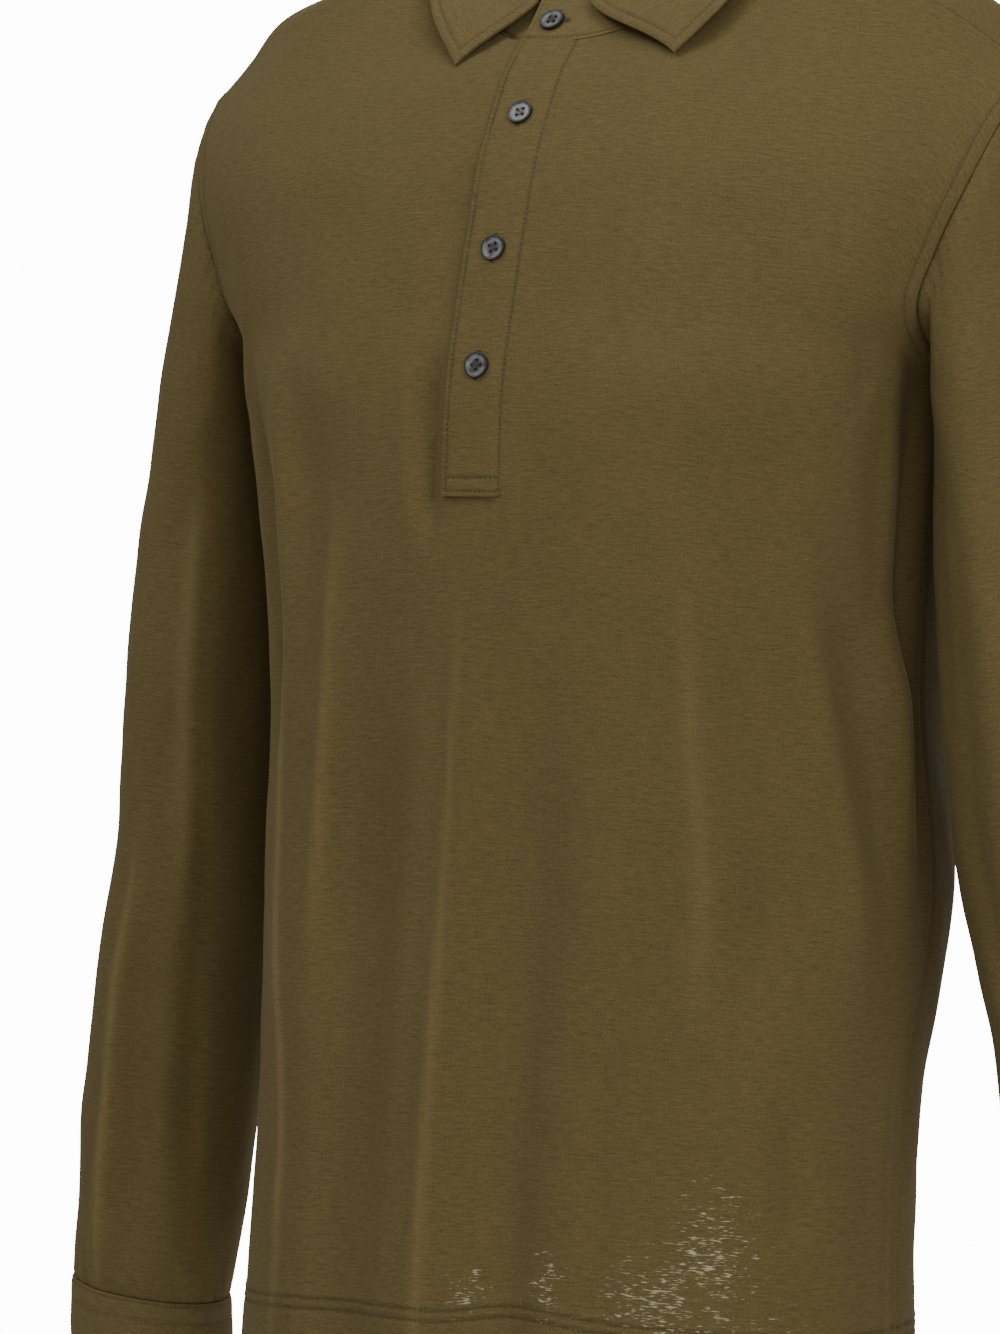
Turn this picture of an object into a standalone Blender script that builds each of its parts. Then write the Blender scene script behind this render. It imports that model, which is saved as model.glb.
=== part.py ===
"""Long-sleeve polo shirt, hollow and open as it stands when it is worn.

Metres, +Z up. The front faces -Y and the wearer's left is +X. The origin lies on the
centre line, level with the points where the shoulders meet the neck.
"""

import math
from collections import namedtuple

import bmesh
import bpy
import numpy as np
from mathutils import Matrix, Vector

# Cloth and seams
WALL = 0.0015
SEAM_GAP = 0.0003
ARMHOLE_GAP = 0.0006
STAND_WALL = 0.0018
CUFF_WALL = 0.0020

# Neck and collar
NECK_HALF_WIDTH = 0.072
NECK_CENTRE_Y = 0.012
NECK_FRONT_REACH = 0.075
NECK_BACK_REACH = 0.066
NECK_FRONT_DROP = 0.073
NECK_BACK_RISE = 0.006
SEAM_NECK_ANGLE = math.radians(52)
STAND_PROUD = 0.0010
STAND_LIFT = 0.0006
STAND_LAP = 0.0165
STAND_LAYER_SHIFT = 0.0036
ROLL_CENTRE = 0.0014
ROLL_RADIUS = 0.0030
ROLL_LIFT = 0.0006

# Front opening
PLACKET_HALF_WIDTH = 0.017
SLIT_HALF_WIDTH = 0.0145
SLIT_COLUMN = 0.07
PLACKET_WALL = 0.0016

# Buttons
BUTTON_RADIUS = 0.00635
BUTTON_SIDES = 18
HOLE_RADIUS = 0.00075
HOLE_PITCH = 0.0016
PLACKET_BUTTON_Z = (-0.1085, -0.1745, -0.2310)
BUTTON_TURNS = (math.radians(8), math.radians(20), math.radians(45))

# Cuffs
CUFF_DEPTH = 0.050
CUFF_PROUD = 0.0012

# Each panel is a stack of level rows. The edge columns are where a row meets the side seam
# or the armhole, the centre columns where it crosses the centre line. Reach is how far round
# the side the row goes, from 0 to 1, and square how full its corners are (2 is an ellipse).
# Steps is the number of cells between a row and the one before it.
PanelRow = namedtuple("PanelRow", "steps edge_x edge_y edge_z centre_y centre_z reach square")

FRONT_ROWS = (
    PanelRow(0, 0.1760, -0.035, -0.722, -0.1550, -0.712, 1.00, 2.3),
    PanelRow(4, 0.1727, -0.020, -0.590, -0.1470, -0.590, 1.00, 2.3),
    PanelRow(3, 0.1780, 0.000, -0.490, -0.1410, -0.490, 1.00, 2.3),
    PanelRow(3, 0.1715, 0.000, -0.390, -0.1410, -0.390, 1.00, 2.4),
    PanelRow(3, 0.1780, 0.001, -0.288, -0.1390, -0.290, 1.00, 2.6),
    PanelRow(2, 0.1850, 0.003, -0.236, -0.1345, -0.238, 1.00, 2.8),
    PanelRow(3, 0.1925, -0.050, -0.205, -0.1245, -0.200, 0.93, 2.5),
    PanelRow(2, 0.2035, -0.052, -0.176, -0.1140, -0.165, 0.90, 2.3),
    PanelRow(2, 0.2160, -0.045, -0.146, -0.1020, -0.130, 0.88, 2.2),
    PanelRow(2, 0.2250, -0.030, -0.118, -0.0850, -0.099, 0.85, 2.1),
)
FRONT_TOP_STEPS = 3
SLIT_ROW = 4
UNDERARM_ROW = 5

BACK_ROWS = (
    PanelRow(0, 0.1760, -0.035, -0.722, 0.0670, -0.726, 1.00, 2.2),
    PanelRow(4, 0.1727, -0.020, -0.590, 0.0850, -0.590, 1.00, 2.2),
    PanelRow(3, 0.1780, 0.000, -0.490, 0.1100, -0.490, 1.00, 2.3),
    PanelRow(3, 0.1715, 0.000, -0.390, 0.1180, -0.390, 1.00, 2.3),
    PanelRow(3, 0.1780, 0.001, -0.288, 0.1230, -0.282, 1.00, 2.4),
    PanelRow(2, 0.1850, 0.003, -0.236, 0.1250, -0.225, 1.00, 2.5),
    PanelRow(3, 0.1940, 0.066, -0.207, 0.1250, -0.170, 0.93, 2.4),
    PanelRow(2, 0.2050, 0.075, -0.178, 0.1210, -0.125, 0.90, 2.3),
    PanelRow(2, 0.2165, 0.066, -0.150, 0.1130, -0.080, 0.88, 2.2),
    PanelRow(2, 0.2268, 0.042, -0.120, 0.1000, -0.040, 0.85, 2.1),
)
RIDGE_STEPS = 2
BACK_TOP_STEPS = 2

# Columns on each side of a panel, and how many of them end at the neckline. The others end
# on the shoulder seam, as many on the back as on the front.
FRONT_SIDE_COLUMNS = 14
FRONT_NECK_COLUMNS = 5
BACK_SIDE_COLUMNS = 17
BACK_NECK_COLUMNS = 8
FRONT_NECK_END = SLIT_COLUMN + (1 - SLIT_COLUMN) * FRONT_NECK_COLUMNS / FRONT_SIDE_COLUMNS
BACK_NECK_END = BACK_NECK_COLUMNS / BACK_SIDE_COLUMNS
# How steeply the body falls away from the neckline, at the centre front and elsewhere.
NECK_FALL_FRONT = 1.2
NECK_FALL_SIDE = 0.35

# The shoulder seam lies a little in front of the shoulder's crest. Both run from the neck
# out to the armhole, on the wearer's left side.
SHOULDER_SEAM = ((0.115, -0.028, -0.0380), (0.180, -0.013, -0.0540), (0.234, 0.000, -0.0925))
SHOULDER_CREST = ((0.087, 0.015, -0.0070), (0.157, 0.010, -0.0375), (0.205, 0.012, -0.0560),
                  (0.2325, 0.018, -0.0950))

# Rings of the wearer's left sleeve, from the armhole down. Outer and inner are the points
# furthest from and nearest to the body, front and back how far the ring reaches in Y.
SleeveRow = namedtuple("SleeveRow", "steps outer_x outer_z inner_x inner_z front_y back_y")

SLEEVE_ROWS = (
    SleeveRow(1, 0.2375, -0.106, 0.1886, -0.2415, -0.0560, 0.078),
    SleeveRow(1, 0.2400, -0.130, 0.1888, -0.2500, -0.0570, 0.080),
    SleeveRow(1, 0.2440, -0.165, 0.1885, -0.2620, -0.0580, 0.081),
    SleeveRow(1, 0.2500, -0.205, 0.1878, -0.2770, -0.0590, 0.080),
    SleeveRow(1, 0.2560, -0.250, 0.1870, -0.2960, -0.0600, 0.077),
    SleeveRow(2, 0.2640, -0.300, 0.1870, -0.3280, -0.0620, 0.071),
    SleeveRow(2, 0.2740, -0.385, 0.1925, -0.4000, -0.0630, 0.062),
    SleeveRow(2, 0.2845, -0.472, 0.1990, -0.4840, -0.0560, 0.060),
    SleeveRow(2, 0.2980, -0.534, 0.2120, -0.5460, -0.0520, 0.057),
    SleeveRow(2, 0.3045, -0.580, 0.2185, -0.5900, -0.0500, 0.052),
    SleeveRow(1, 0.3090, -0.613, 0.2225, -0.6200, -0.0490, 0.046),
    SleeveRow(2, 0.3110, -0.657, 0.2270, -0.6650, -0.0490, 0.041),
    SleeveRow(2, 0.3135, -0.695, 0.2335, -0.7060, -0.0470, 0.034),
    SleeveRow(1, 0.3140, -0.705, 0.2345, -0.7170, -0.0455, 0.031),
)

# How much of the armhole's own shape the first rings keep.
ARMHOLE_SHARES = (0.85, 0.65, 0.40, 0.15)

# How much further out the inner side of each sleeve hangs towards the cuff.
SLEEVE_INNER_SHIFT = {"left": 0.0025, "right": -0.0045}
INNER_SHIFT_TOP = -0.46
INNER_SHIFT_RUN = 0.12

# Outer edge of the collar leaf, from the centre back (turn 0) to the point (turn 1),
# on the wearer's left side.
LeafEdge = namedtuple("LeafEdge", "turn x y z")

LEAF_EDGE = (
    LeafEdge(0.00, 0.0000, 0.1020, -0.0080),
    LeafEdge(0.25, 0.0620, 0.0850, -0.0100),
    LeafEdge(0.45, 0.0950, 0.0450, -0.0095),
    LeafEdge(0.60, 0.1000, 0.0115, -0.0108),
    LeafEdge(0.75, 0.0970, -0.0230, -0.0268),
    LeafEdge(0.88, 0.0830, -0.0510, -0.0552),
    LeafEdge(1.00, 0.0625, -0.0674, -0.0794),
)
# The points are not quite alike: both lie a little to the left, the right one more and lower.
LEFT_POINT_SHIFT = (0.0075, 0.0, 0.0)
RIGHT_POINT_SHIFT = (0.0125, -0.0042, -0.0030)
LEAF_FRONT_LEFT = math.radians(12)
LEAF_FRONT_RIGHT = math.radians(345.2)
LEAF_TURN_REACH = math.radians(32)

# Soft folds. Height is out of the cloth (negative for a trough), width is its half-breadth.
# Each passes through three places: u from -1 (wearer's right side) to 1, and height z.
Fold = namedtuple("Fold", "height width u_top z_top u_mid z_mid u_low z_low")

FRONT_FOLDS = (
    Fold(0.0056, 0.018, -0.50, -0.200, -0.47, -0.340, -0.57, -0.620),
    Fold(-0.0080, 0.017, -0.76, -0.190, -0.61, -0.290, -0.60, -0.440),
    Fold(0.0048, 0.020, -0.29, -0.300, -0.37, -0.430, -0.42, -0.620),
    Fold(-0.0088, 0.026, -0.15, -0.300, -0.22, -0.460, -0.25, -0.860),
    Fold(0.0072, 0.014, 0.03, -0.310, -0.03, -0.440, -0.12, -0.860),
    Fold(-0.0072, 0.020, 0.17, -0.320, 0.13, -0.450, 0.08, -0.820),
    Fold(0.0048, 0.022, 0.43, -0.280, 0.45, -0.420, 0.44, -0.640),
    Fold(-0.0056, 0.024, 0.53, -0.220, 0.58, -0.360, 0.56, -0.580),
    Fold(-0.0096, 0.018, 0.69, -0.290, 0.80, -0.390, 0.87, -0.540),
    Fold(0.0072, 0.015, 0.66, -0.310, 0.74, -0.410, 0.80, -0.550),
    Fold(-0.0128, 0.020, 0.93, -0.200, 0.93, -0.270, 0.95, -0.400),
)
BACK_FOLDS = (
    Fold(-0.0080, 0.026, -0.38, -0.280, -0.30, -0.450, -0.34, -0.840),
    Fold(-0.0072, 0.024, 0.28, -0.300, 0.36, -0.460, 0.30, -0.860),
    Fold(0.0064, 0.018, -0.12, -0.340, -0.07, -0.500, -0.13, -0.860),
    Fold(-0.0064, 0.021, 0.05, -0.380, 0.07, -0.520, 0.09, -0.840),
    Fold(-0.0080, 0.020, -0.74, -0.240, -0.66, -0.380, -0.70, -0.640),
    Fold(-0.0088, 0.021, 0.76, -0.230, 0.67, -0.360, 0.70, -0.600),
    Fold(0.0056, 0.017, 0.55, -0.320, 0.52, -0.470, 0.56, -0.800),
)
SLEEVE_FOLDS = {
    "right": (
        Fold(-0.0042, 0.016, 0.50, -0.250, 0.54, -0.360, 0.56, -0.500),
        Fold(0.0042, 0.015, 0.63, -0.280, 0.66, -0.420, 0.71, -0.600),
        Fold(0.0035, 0.010, 0.44, -0.500, 0.45, -0.610, 0.44, -0.730),
        Fold(-0.0042, 0.012, 0.53, -0.500, 0.56, -0.610, 0.60, -0.720),
        Fold(-0.0049, 0.016, -0.52, -0.300, -0.46, -0.420, -0.50, -0.600),
        Fold(0.0042, 0.014, -0.30, -0.340, -0.34, -0.460, -0.30, -0.640),
    ),
    "left": (
        Fold(-0.0042, 0.017, 0.58, -0.250, 0.61, -0.380, 0.59, -0.540),
        Fold(0.0042, 0.014, 0.40, -0.300, 0.43, -0.450, 0.41, -0.640),
        Fold(-0.0042, 0.013, 0.50, -0.500, 0.47, -0.610, 0.52, -0.720),
        Fold(0.0035, 0.012, 0.66, -0.480, 0.62, -0.600, 0.66, -0.720),
        Fold(-0.0049, 0.016, -0.48, -0.280, -0.52, -0.420, -0.48, -0.620),
        Fold(0.0042, 0.014, -0.32, -0.320, -0.28, -0.460, -0.33, -0.660),
    ),
}
PANEL_BREADTH = 0.26
SLEEVE_BREADTH = 0.17

OLIVE = (0.118, 0.084, 0.030, 1.0)
OLIVE_LIGHT = (0.140, 0.102, 0.040, 1.0)
SHELL_GREY = (0.120, 0.120, 0.125, 1.0)


def clear_scene():
    """Remove every object that a new file starts with."""
    for item in list(bpy.data.objects):
        bpy.data.objects.remove(item, do_unlink=True)


def material(name, colour, roughness, metallic=0.0):
    """A plain Principled material."""
    made = bpy.data.materials.new(name)
    made.use_nodes = True
    shader = made.node_tree.nodes["Principled BSDF"]
    shader.inputs["Base Color"].default_value = colour
    shader.inputs["Roughness"].default_value = roughness
    shader.inputs["Metallic"].default_value = metallic
    made.diffuse_color = colour
    return made


def unit(vectors):
    """Vectors scaled to length one along their last axis."""
    vectors = np.asarray(vectors, float)
    return vectors / np.maximum(np.linalg.norm(vectors, axis=-1, keepdims=True), 1e-12)


def smooth_step(value):
    """0 below 0, 1 above 1 and a soft rise between."""
    value = np.clip(value, 0.0, 1.0)
    return value * value * (3.0 - 2.0 * value)


def loft(control, steps, corner=None, corner_weight=None):
    """Rows of points through the control rows, each column on its own smooth curve.

    control is rows x columns x 3, and steps the cells before each row but the first. At the
    row named corner the curves keep a kink, as far as corner_weight says for each column.
    """
    control = np.asarray(control, float)
    spans = np.linalg.norm(np.diff(control, axis=0), axis=2).mean(axis=1)
    slopes = np.diff(control, axis=0) / spans[:, None, None]
    before = np.concatenate([slopes[:1], slopes])
    after = np.concatenate([slopes, slopes[-1:]])
    share = np.concatenate([[0.5], spans[1:] / (spans[1:] + spans[:-1]), [0.5]])[:, None, None]
    middle = before * share + after * (1.0 - share)
    arriving, leaving = middle.copy(), middle.copy()
    if corner is not None:
        weight = np.asarray(corner_weight)[:, None]
        arriving[corner] = middle[corner] * (1 - weight) + before[corner] * weight
        leaving[corner] = middle[corner] * (1 - weight) + after[corner] * weight
    rows = [control[0]]
    for index, count in enumerate(steps):
        start, end = control[index], control[index + 1]
        out, into = leaving[index] * spans[index], arriving[index + 1] * spans[index]
        for step in range(1, count + 1):
            t = step / count
            rows.append(
                start * (2 * t**3 - 3 * t**2 + 1)
                + out * (t**3 - 2 * t**2 + t)
                + end * (3 * t**2 - 2 * t**3)
                + into * (t**3 - t**2)
            )
    return np.array(rows)


def along(points, shares):
    """Places on a smooth curve through the points, at shares of its length from 0 to 1."""
    points = np.asarray(points, float)
    fine = loft(points[:, None, :], [12] * (len(points) - 1))[:, 0]
    travelled = np.concatenate([[0.0], np.cumsum(np.linalg.norm(np.diff(fine, axis=0), axis=1))])
    wanted = np.asarray(shares) * travelled[-1]
    return np.stack([np.interp(wanted, travelled, fine[:, axis]) for axis in range(3)], axis=-1)


def grid_normals(grid, side=1.0, closed=False):
    """Unit normals of a grid of points, to the side where columns cross rows."""
    if closed:
        across = np.roll(grid, -1, axis=1) - np.roll(grid, 1, axis=1)
    else:
        across = np.gradient(grid, axis=1)
    up = np.gradient(grid, axis=0)
    return unit(np.cross(across, up)) * side


def relief(folds, u, z, breadth):
    """Height of the folds at column u and height z; breadth is the metres in one u."""
    total = np.zeros(np.broadcast(u, z).shape)
    for fold in folds:
        run = (z - fold.z_low) / (fold.z_top - fold.z_low)
        middle = (fold.z_mid - fold.z_low) / (fold.z_top - fold.z_low)
        line = (
            fold.u_low * (run - middle) * (run - 1) / middle
            + fold.u_mid * run * (run - 1) / (middle * (middle - 1))
            + fold.u_top * run * (run - middle) / (1 - middle)
        )
        fade = smooth_step(run / 0.3) * smooth_step((1 - run) / 0.3)
        fade = fade * smooth_step((1 - np.abs(u)) / 0.08)
        total += fold.height * fade * np.exp(-(((u - line) * breadth / fold.width) ** 2))
    return total


def neckline(angle):
    """The seam between body and collar stand. Angle 0 is the centre front, 90 the left."""
    angle = np.asarray(angle, float)
    ahead = np.cos(angle)
    x = NECK_HALF_WIDTH * np.sin(angle)
    reach = np.where(ahead > 0, NECK_FRONT_REACH, NECK_BACK_REACH)
    y = NECK_CENTRE_Y - reach * ahead
    front_z = -NECK_FRONT_DROP * (1.0 - np.clip(1.0 - ahead, 0.0, 1.0) ** 1.2)
    z = np.where(ahead > 0, front_z, -NECK_BACK_RISE * ahead)
    return np.stack([x, y, z], axis=-1)


def shoulder_seam(shares):
    """Places on the left shoulder seam, from the neck to the armhole."""
    start = tuple(neckline(SEAM_NECK_ANGLE))
    return along((start,) + SHOULDER_SEAM, shares)


def mirrored(points):
    """Points moved to the other side of the centre line."""
    return points * np.array([-1.0, 1.0, 1.0])


def panel_row(row, columns, slit):
    """One row of a panel. Columns run from -1 to 1; slit keeps two of them straight."""
    turn = math.asin(min(row.reach, 1.0))
    straight = math.asin(SLIT_HALF_WIDTH * row.reach / row.edge_x) / turn
    side = np.abs(columns)
    if slit:
        inside = side / SLIT_COLUMN * straight
        outside = straight + (side - SLIT_COLUMN) / (1 - SLIT_COLUMN) * (1 - straight)
        side = np.where(side <= SLIT_COLUMN, inside, outside)
    x = np.clip(np.sin(side * turn) / row.reach, 0.0, 1.0)
    floor = (1 - row.reach**row.square) ** (1 / row.square)
    bulge = ((1 - np.clip(row.reach * x, 0, 1) ** row.square) ** (1 / row.square) - floor) / (1 - floor)
    return np.stack(
        [
            np.sign(columns) * row.edge_x * x,
            row.edge_y + (row.centre_y - row.edge_y) * bulge,
            row.centre_z + (row.edge_z - row.centre_z) * x**2,
        ],
        axis=-1,
    )


def front_columns():
    """Columns of the front, with two cells in the slit and the rest shared out beside it."""
    shares = np.arange(FRONT_SIDE_COLUMNS + 1) / FRONT_SIDE_COLUMNS
    outer = SLIT_COLUMN + (1 - SLIT_COLUMN) * shares
    return np.concatenate([-outer[::-1], [0.0], outer])


def back_columns():
    """Evenly spaced columns of the back."""
    return np.arange(-BACK_SIDE_COLUMNS, BACK_SIDE_COLUMNS + 1) / BACK_SIDE_COLUMNS


def front_angles(columns):
    """Angles round the neck at which the front's columns meet the neckline."""
    slit_angle = math.asin(SLIT_HALF_WIDTH / NECK_HALF_WIDTH)
    return np.interp(np.abs(columns), [0, SLIT_COLUMN, FRONT_NECK_END], [0, slit_angle, SEAM_NECK_ANGLE])


def back_angles(columns):
    """Angles round the neck at which the back's columns meet the neckline."""
    return np.interp(np.abs(columns), [0, BACK_NECK_END], [math.pi, SEAM_NECK_ANGLE])


def top_of_panel(columns, angles, neck_end):
    """A panel's upper edge: its half of the neckline, then the shoulder seam."""
    side = np.abs(columns)
    seam = shoulder_seam(np.clip((side - neck_end) / (1 - neck_end), 0, 1))
    points = np.where((side <= neck_end + 1e-9)[:, None], neckline(angles), seam)
    return np.where((columns < 0)[:, None], mirrored(points), points)


def crest_of_back(columns):
    """The row over the crest of the shoulders and round the back of the neck."""
    side = np.abs(columns)
    neck_end = BACK_NECK_END
    ring = neckline(np.interp(side, [0, neck_end], [math.pi, math.pi / 2]))
    centre = np.array([0.0, NECK_CENTRE_Y, -0.009])
    ring = centre + (ring - centre * [1, 1, 0]) * [1.208, 1.2, 1.0]
    crest = along(SHOULDER_CREST, np.clip((side - neck_end) / (1 - neck_end), 0, 1))
    points = np.where((side <= neck_end)[:, None], ring, crest)
    return np.where((columns < 0)[:, None], mirrored(points), points)


def corner_weights(columns):
    """Only the columns near the side seam keep the sharp turn at the underarm."""
    return smooth_step((np.abs(columns) - 0.75) / 0.25)


def seam_normals(shares):
    """Normals along the left shoulder seam, the same for both panels that meet there."""
    ahead = shoulder_seam(np.clip(shares + 0.02, 0, 1)) - shoulder_seam(np.clip(shares - 0.02, 0, 1))
    up_the_shoulder = np.array([0.1, 0.86, 0.45])
    return unit(np.cross(ahead, up_the_shoulder))


def neck_normals(angles):
    """Normals of the body cloth where it ends at the neckline, on the wearer's left side."""
    ahead = neckline(angles + 0.01) - neckline(angles - 0.01)
    fall = NECK_FALL_SIDE + (NECK_FALL_FRONT - NECK_FALL_SIDE) * np.clip(np.cos(angles), 0, 1)
    away = np.stack([np.sin(angles), -np.cos(angles), -fall], axis=-1)
    return unit(np.cross(away, ahead))


def finish_panel(grid, columns, side, neck_end, underarm, angles):
    """Seam gaps and seam normals of a body panel. Side is 1 for the front, -1 for the back."""
    normals = grid_normals(grid, side)
    neck = neck_normals(angles)
    neck = np.where((columns < 0)[:, None], mirrored(neck), neck)
    at_neck = np.abs(columns) <= neck_end + 1e-9
    normals[-1][at_neck] = neck[at_neck]
    half = SEAM_GAP / 2
    for edge, sign in ((0, -1.0), (-1, 1.0)):
        grid[: underarm + 1, edge, 1] -= half * side
        normals[: underarm + 1, edge] = (sign, 0.0, 0.0)
    on_seam = np.abs(columns) > neck_end + 1e-9
    shares = np.clip((np.abs(columns) - neck_end) / (1 - neck_end), 0, 1)
    seam = seam_normals(shares)
    seam = np.where((columns < 0)[:, None], mirrored(seam), seam)
    across = np.array([0.0, 0.86, 0.5])
    grid[-1][on_seam] -= across * half * side
    normals[-1][on_seam] = seam[on_seam]
    return grid, normals


def front_panel():
    """Outer points and normals of the front, with its columns."""
    columns = front_columns()
    control = [panel_row(row, columns, True) for row in FRONT_ROWS]
    angles = front_angles(columns)
    control.append(top_of_panel(columns, angles, FRONT_NECK_END))
    steps = [row.steps for row in FRONT_ROWS[1:]] + [FRONT_TOP_STEPS]
    grid = loft(control, steps, UNDERARM_ROW, corner_weights(columns))
    heights = relief(FRONT_FOLDS, columns[None, :], grid[:, :, 2], PANEL_BREADTH)
    grid = grid + grid_normals(grid) * heights[:, :, None]
    underarm = sum(row.steps for row in FRONT_ROWS[: UNDERARM_ROW + 1])
    return (*finish_panel(grid, columns, 1.0, FRONT_NECK_END, underarm, angles), columns)


def back_panel():
    """Outer points and normals of the back, with its columns."""
    columns = back_columns()
    control = [panel_row(row, columns, False) for row in BACK_ROWS]
    angles = back_angles(columns)
    control += [crest_of_back(columns), top_of_panel(columns, angles, BACK_NECK_END)]
    steps = [row.steps for row in BACK_ROWS[1:]] + [RIDGE_STEPS, BACK_TOP_STEPS]
    grid = loft(control, steps, UNDERARM_ROW, corner_weights(columns))
    heights = relief(BACK_FOLDS, columns[None, :], grid[:, :, 2], PANEL_BREADTH)
    grid = grid + grid_normals(grid, -1.0) * heights[:, :, None]
    underarm = sum(row.steps for row in BACK_ROWS[: UNDERARM_ROW + 1])
    return (*finish_panel(grid, columns, -1.0, BACK_NECK_END, underarm, angles), columns)


def armhole_ring(front, back):
    """Values of the front's and back's edge columns round the left armhole, and the top's place."""
    front_start = sum(row.steps for row in FRONT_ROWS[: UNDERARM_ROW + 1])
    back_start = sum(row.steps for row in BACK_ROWS[: UNDERARM_ROW + 1])
    front_edge = front[front_start:, -1]
    back_edge = back[back_start:, -1]
    return np.concatenate([front_edge, back_edge[1:-1][::-1]]), len(front_edge) - 1


def sleeve_rings(armhole, top, inner_shift):
    """Control rings of the left sleeve: the armhole's own points, then the table's rings."""
    centre = (armhole[0] + armhole[top]) / 2
    across = armhole[top] - centre
    reach = np.linalg.norm(across)
    across = across / reach
    centre[1] = (armhole[:, 1].min() + armhole[:, 1].max()) / 2
    depth = (armhole[:, 1].max() - armhole[:, 1].min()) / 2
    local = armhole - centre
    angles = np.arctan2(-local[:, 1] / depth, local @ across / reach)
    round_hole = centre + np.cos(angles)[:, None] * across * reach
    round_hole = round_hole - np.sin(angles)[:, None] * [0.0, depth, 0.0]
    kept = np.zeros(len(SLEEVE_ROWS))
    kept[: len(ARMHOLE_SHARES)] = ARMHOLE_SHARES
    rings = [armhole]
    for row, share in zip(SLEEVE_ROWS, kept):
        outer = np.array([row.outer_x, 0.0, row.outer_z])
        late = smooth_step((INNER_SHIFT_TOP - row.inner_z) / INNER_SHIFT_RUN)
        inner = np.array([row.inner_x + inner_shift * late, 0.0, row.inner_z])
        middle = (outer + inner) / 2 + [0.0, (row.front_y + row.back_y) / 2, 0.0]
        half = (outer - inner) / 2
        deep = (row.back_y - row.front_y) / 2
        ring = middle + np.cos(angles)[:, None] * half - np.sin(angles)[:, None] * [0.0, deep, 0.0]
        rings.append(ring + (armhole - round_hole) * share)
    return rings, angles


def sleeve(armhole, top, edge_normals, folds, inner_shift):
    """Outer points and normals of the left sleeve. Over the shoulder it starts as the body ends."""
    rings, angles = sleeve_rings(armhole, top, inner_shift)
    grid = loft(rings, [row.steps for row in SLEEVE_ROWS])
    turn = angles[None, :] / math.pi
    heights = relief(folds, turn, grid[:, :, 2], SLEEVE_BREADTH)
    grid = grid + grid_normals(grid, -1.0, True) * heights[:, :, None]
    normals = grid_normals(grid, -1.0, True)
    ahead = np.roll(grid[0], -1, axis=0) - np.roll(grid[0], 1, axis=0)
    away = unit(np.cross(ahead, normals[0]))
    away *= np.sign(np.sum(away * (grid[1] - grid[0]), axis=1))[:, None]
    grid[0] = grid[0] + away * ARMHOLE_GAP
    over = smooth_step((np.cos(angles) - 0.1) / 0.6)[:, None]
    normals[0] = unit(normals[0] * (1 - over) + edge_normals * over)
    return grid, normals


def cuff(ring, normals):
    """Outer points and normals of a cuff that hangs from a sleeve's last ring."""
    flat = unit(normals * np.array([1.0, 1.0, 0.15]))
    start = ring + flat * CUFF_PROUD
    rows = []
    for share, grow in ((0.0, -0.0008), (0.06, 0.0), (0.5, 0.0006), (0.94, 0.0), (1.0, -0.0008)):
        drop = np.array([0.0, 0.0, -SEAM_GAP - CUFF_DEPTH * share])
        rows.append(start + flat * grow + drop)
    return np.array(rows), np.repeat(flat[None], len(rows), axis=0)


def wall(name, outer, normals, thickness, skin, closed=False, keep=None):
    """A closed cloth wall: the outer points, and the same points moved in."""
    rows, count = outer.shape[:2]
    inner = outer - normals * thickness
    vertices = np.concatenate([outer.reshape(-1, 3), inner.reshape(-1, 3)])
    shift = rows * count
    faces = []
    edges = {}
    for row in range(rows - 1):
        for column in range(count if closed else count - 1):
            if keep is not None and not keep[row, column]:
                continue
            beside = (column + 1) % count
            ring = (row * count + column, row * count + beside,
                    (row + 1) * count + beside, (row + 1) * count + column)
            faces.append(ring)
            faces.append(tuple(index + shift for index in reversed(ring)))
            for first, second in zip(ring, ring[1:] + ring[:1]):
                key = (min(first, second), max(first, second))
                if key in edges:
                    edges[key] = None
                else:
                    edges[key] = (first, second)
    for pair in edges.values():
        if pair is not None:
            first, second = pair
            faces.append((second, first, first + shift, second + shift))
    return solid(name, vertices, faces, skin)


def solid(name, vertices, faces, skin):
    """A mesh object of the points that its faces use, its faces pointing out."""
    used = sorted({index for face in faces for index in face})
    place = {index: number for number, index in enumerate(used)}
    mesh = bpy.data.meshes.new(name)
    mesh.from_pydata([tuple(vertices[index]) for index in used], [],
                     [tuple(place[index] for index in face) for face in faces])
    made = bmesh.new()
    made.from_mesh(mesh)
    bmesh.ops.recalc_face_normals(made, faces=made.faces)
    made.to_mesh(mesh)
    made.free()
    mesh.shade_smooth()
    mesh.set_sharp_from_angle(angle=math.radians(40))
    mesh.materials.append(skin)
    item = bpy.data.objects.new(name, mesh)
    bpy.context.scene.collection.objects.link(item)
    return item


def at_x(points, x):
    """Places on one row of a panel at the given x."""
    return np.stack([x] + [np.interp(x, points[:, 0], points[:, axis]) for axis in (1, 2)], axis=-1)


def strip(front, first_row, last_trim, half_width, low_trim):
    """A strip of the front's own points on the centre line, from a row up to the neckline."""
    across = np.linspace(-half_width, half_width, 5)
    rows = np.array([at_x(points, across) for points in front[first_row:]])
    up = unit(rows[-1] - rows[-2])
    rows[-1] -= up * last_trim
    rows[0] += unit(rows[1] - rows[0]) * low_trim
    return rows, grid_normals(rows)


def plackets(front, skin):
    """The lap that shows on the front opening, and the one that its buttons are sewn to."""
    first = sum(row.steps for row in FRONT_ROWS[: SLIT_ROW + 1])
    under, under_normals = strip(front, first, 0.0, SLIT_HALF_WIDTH - SEAM_GAP, SEAM_GAP)
    wall("placket_under", under, under_normals, WALL, skin)
    lap, lap_normals = strip(front, first, 0.0, PLACKET_HALF_WIDTH, -0.004)
    lap = lap + lap_normals * (SEAM_GAP + PLACKET_WALL)
    wall("placket_top", lap, lap_normals, PLACKET_WALL, skin)
    return lap, lap_normals


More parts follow.
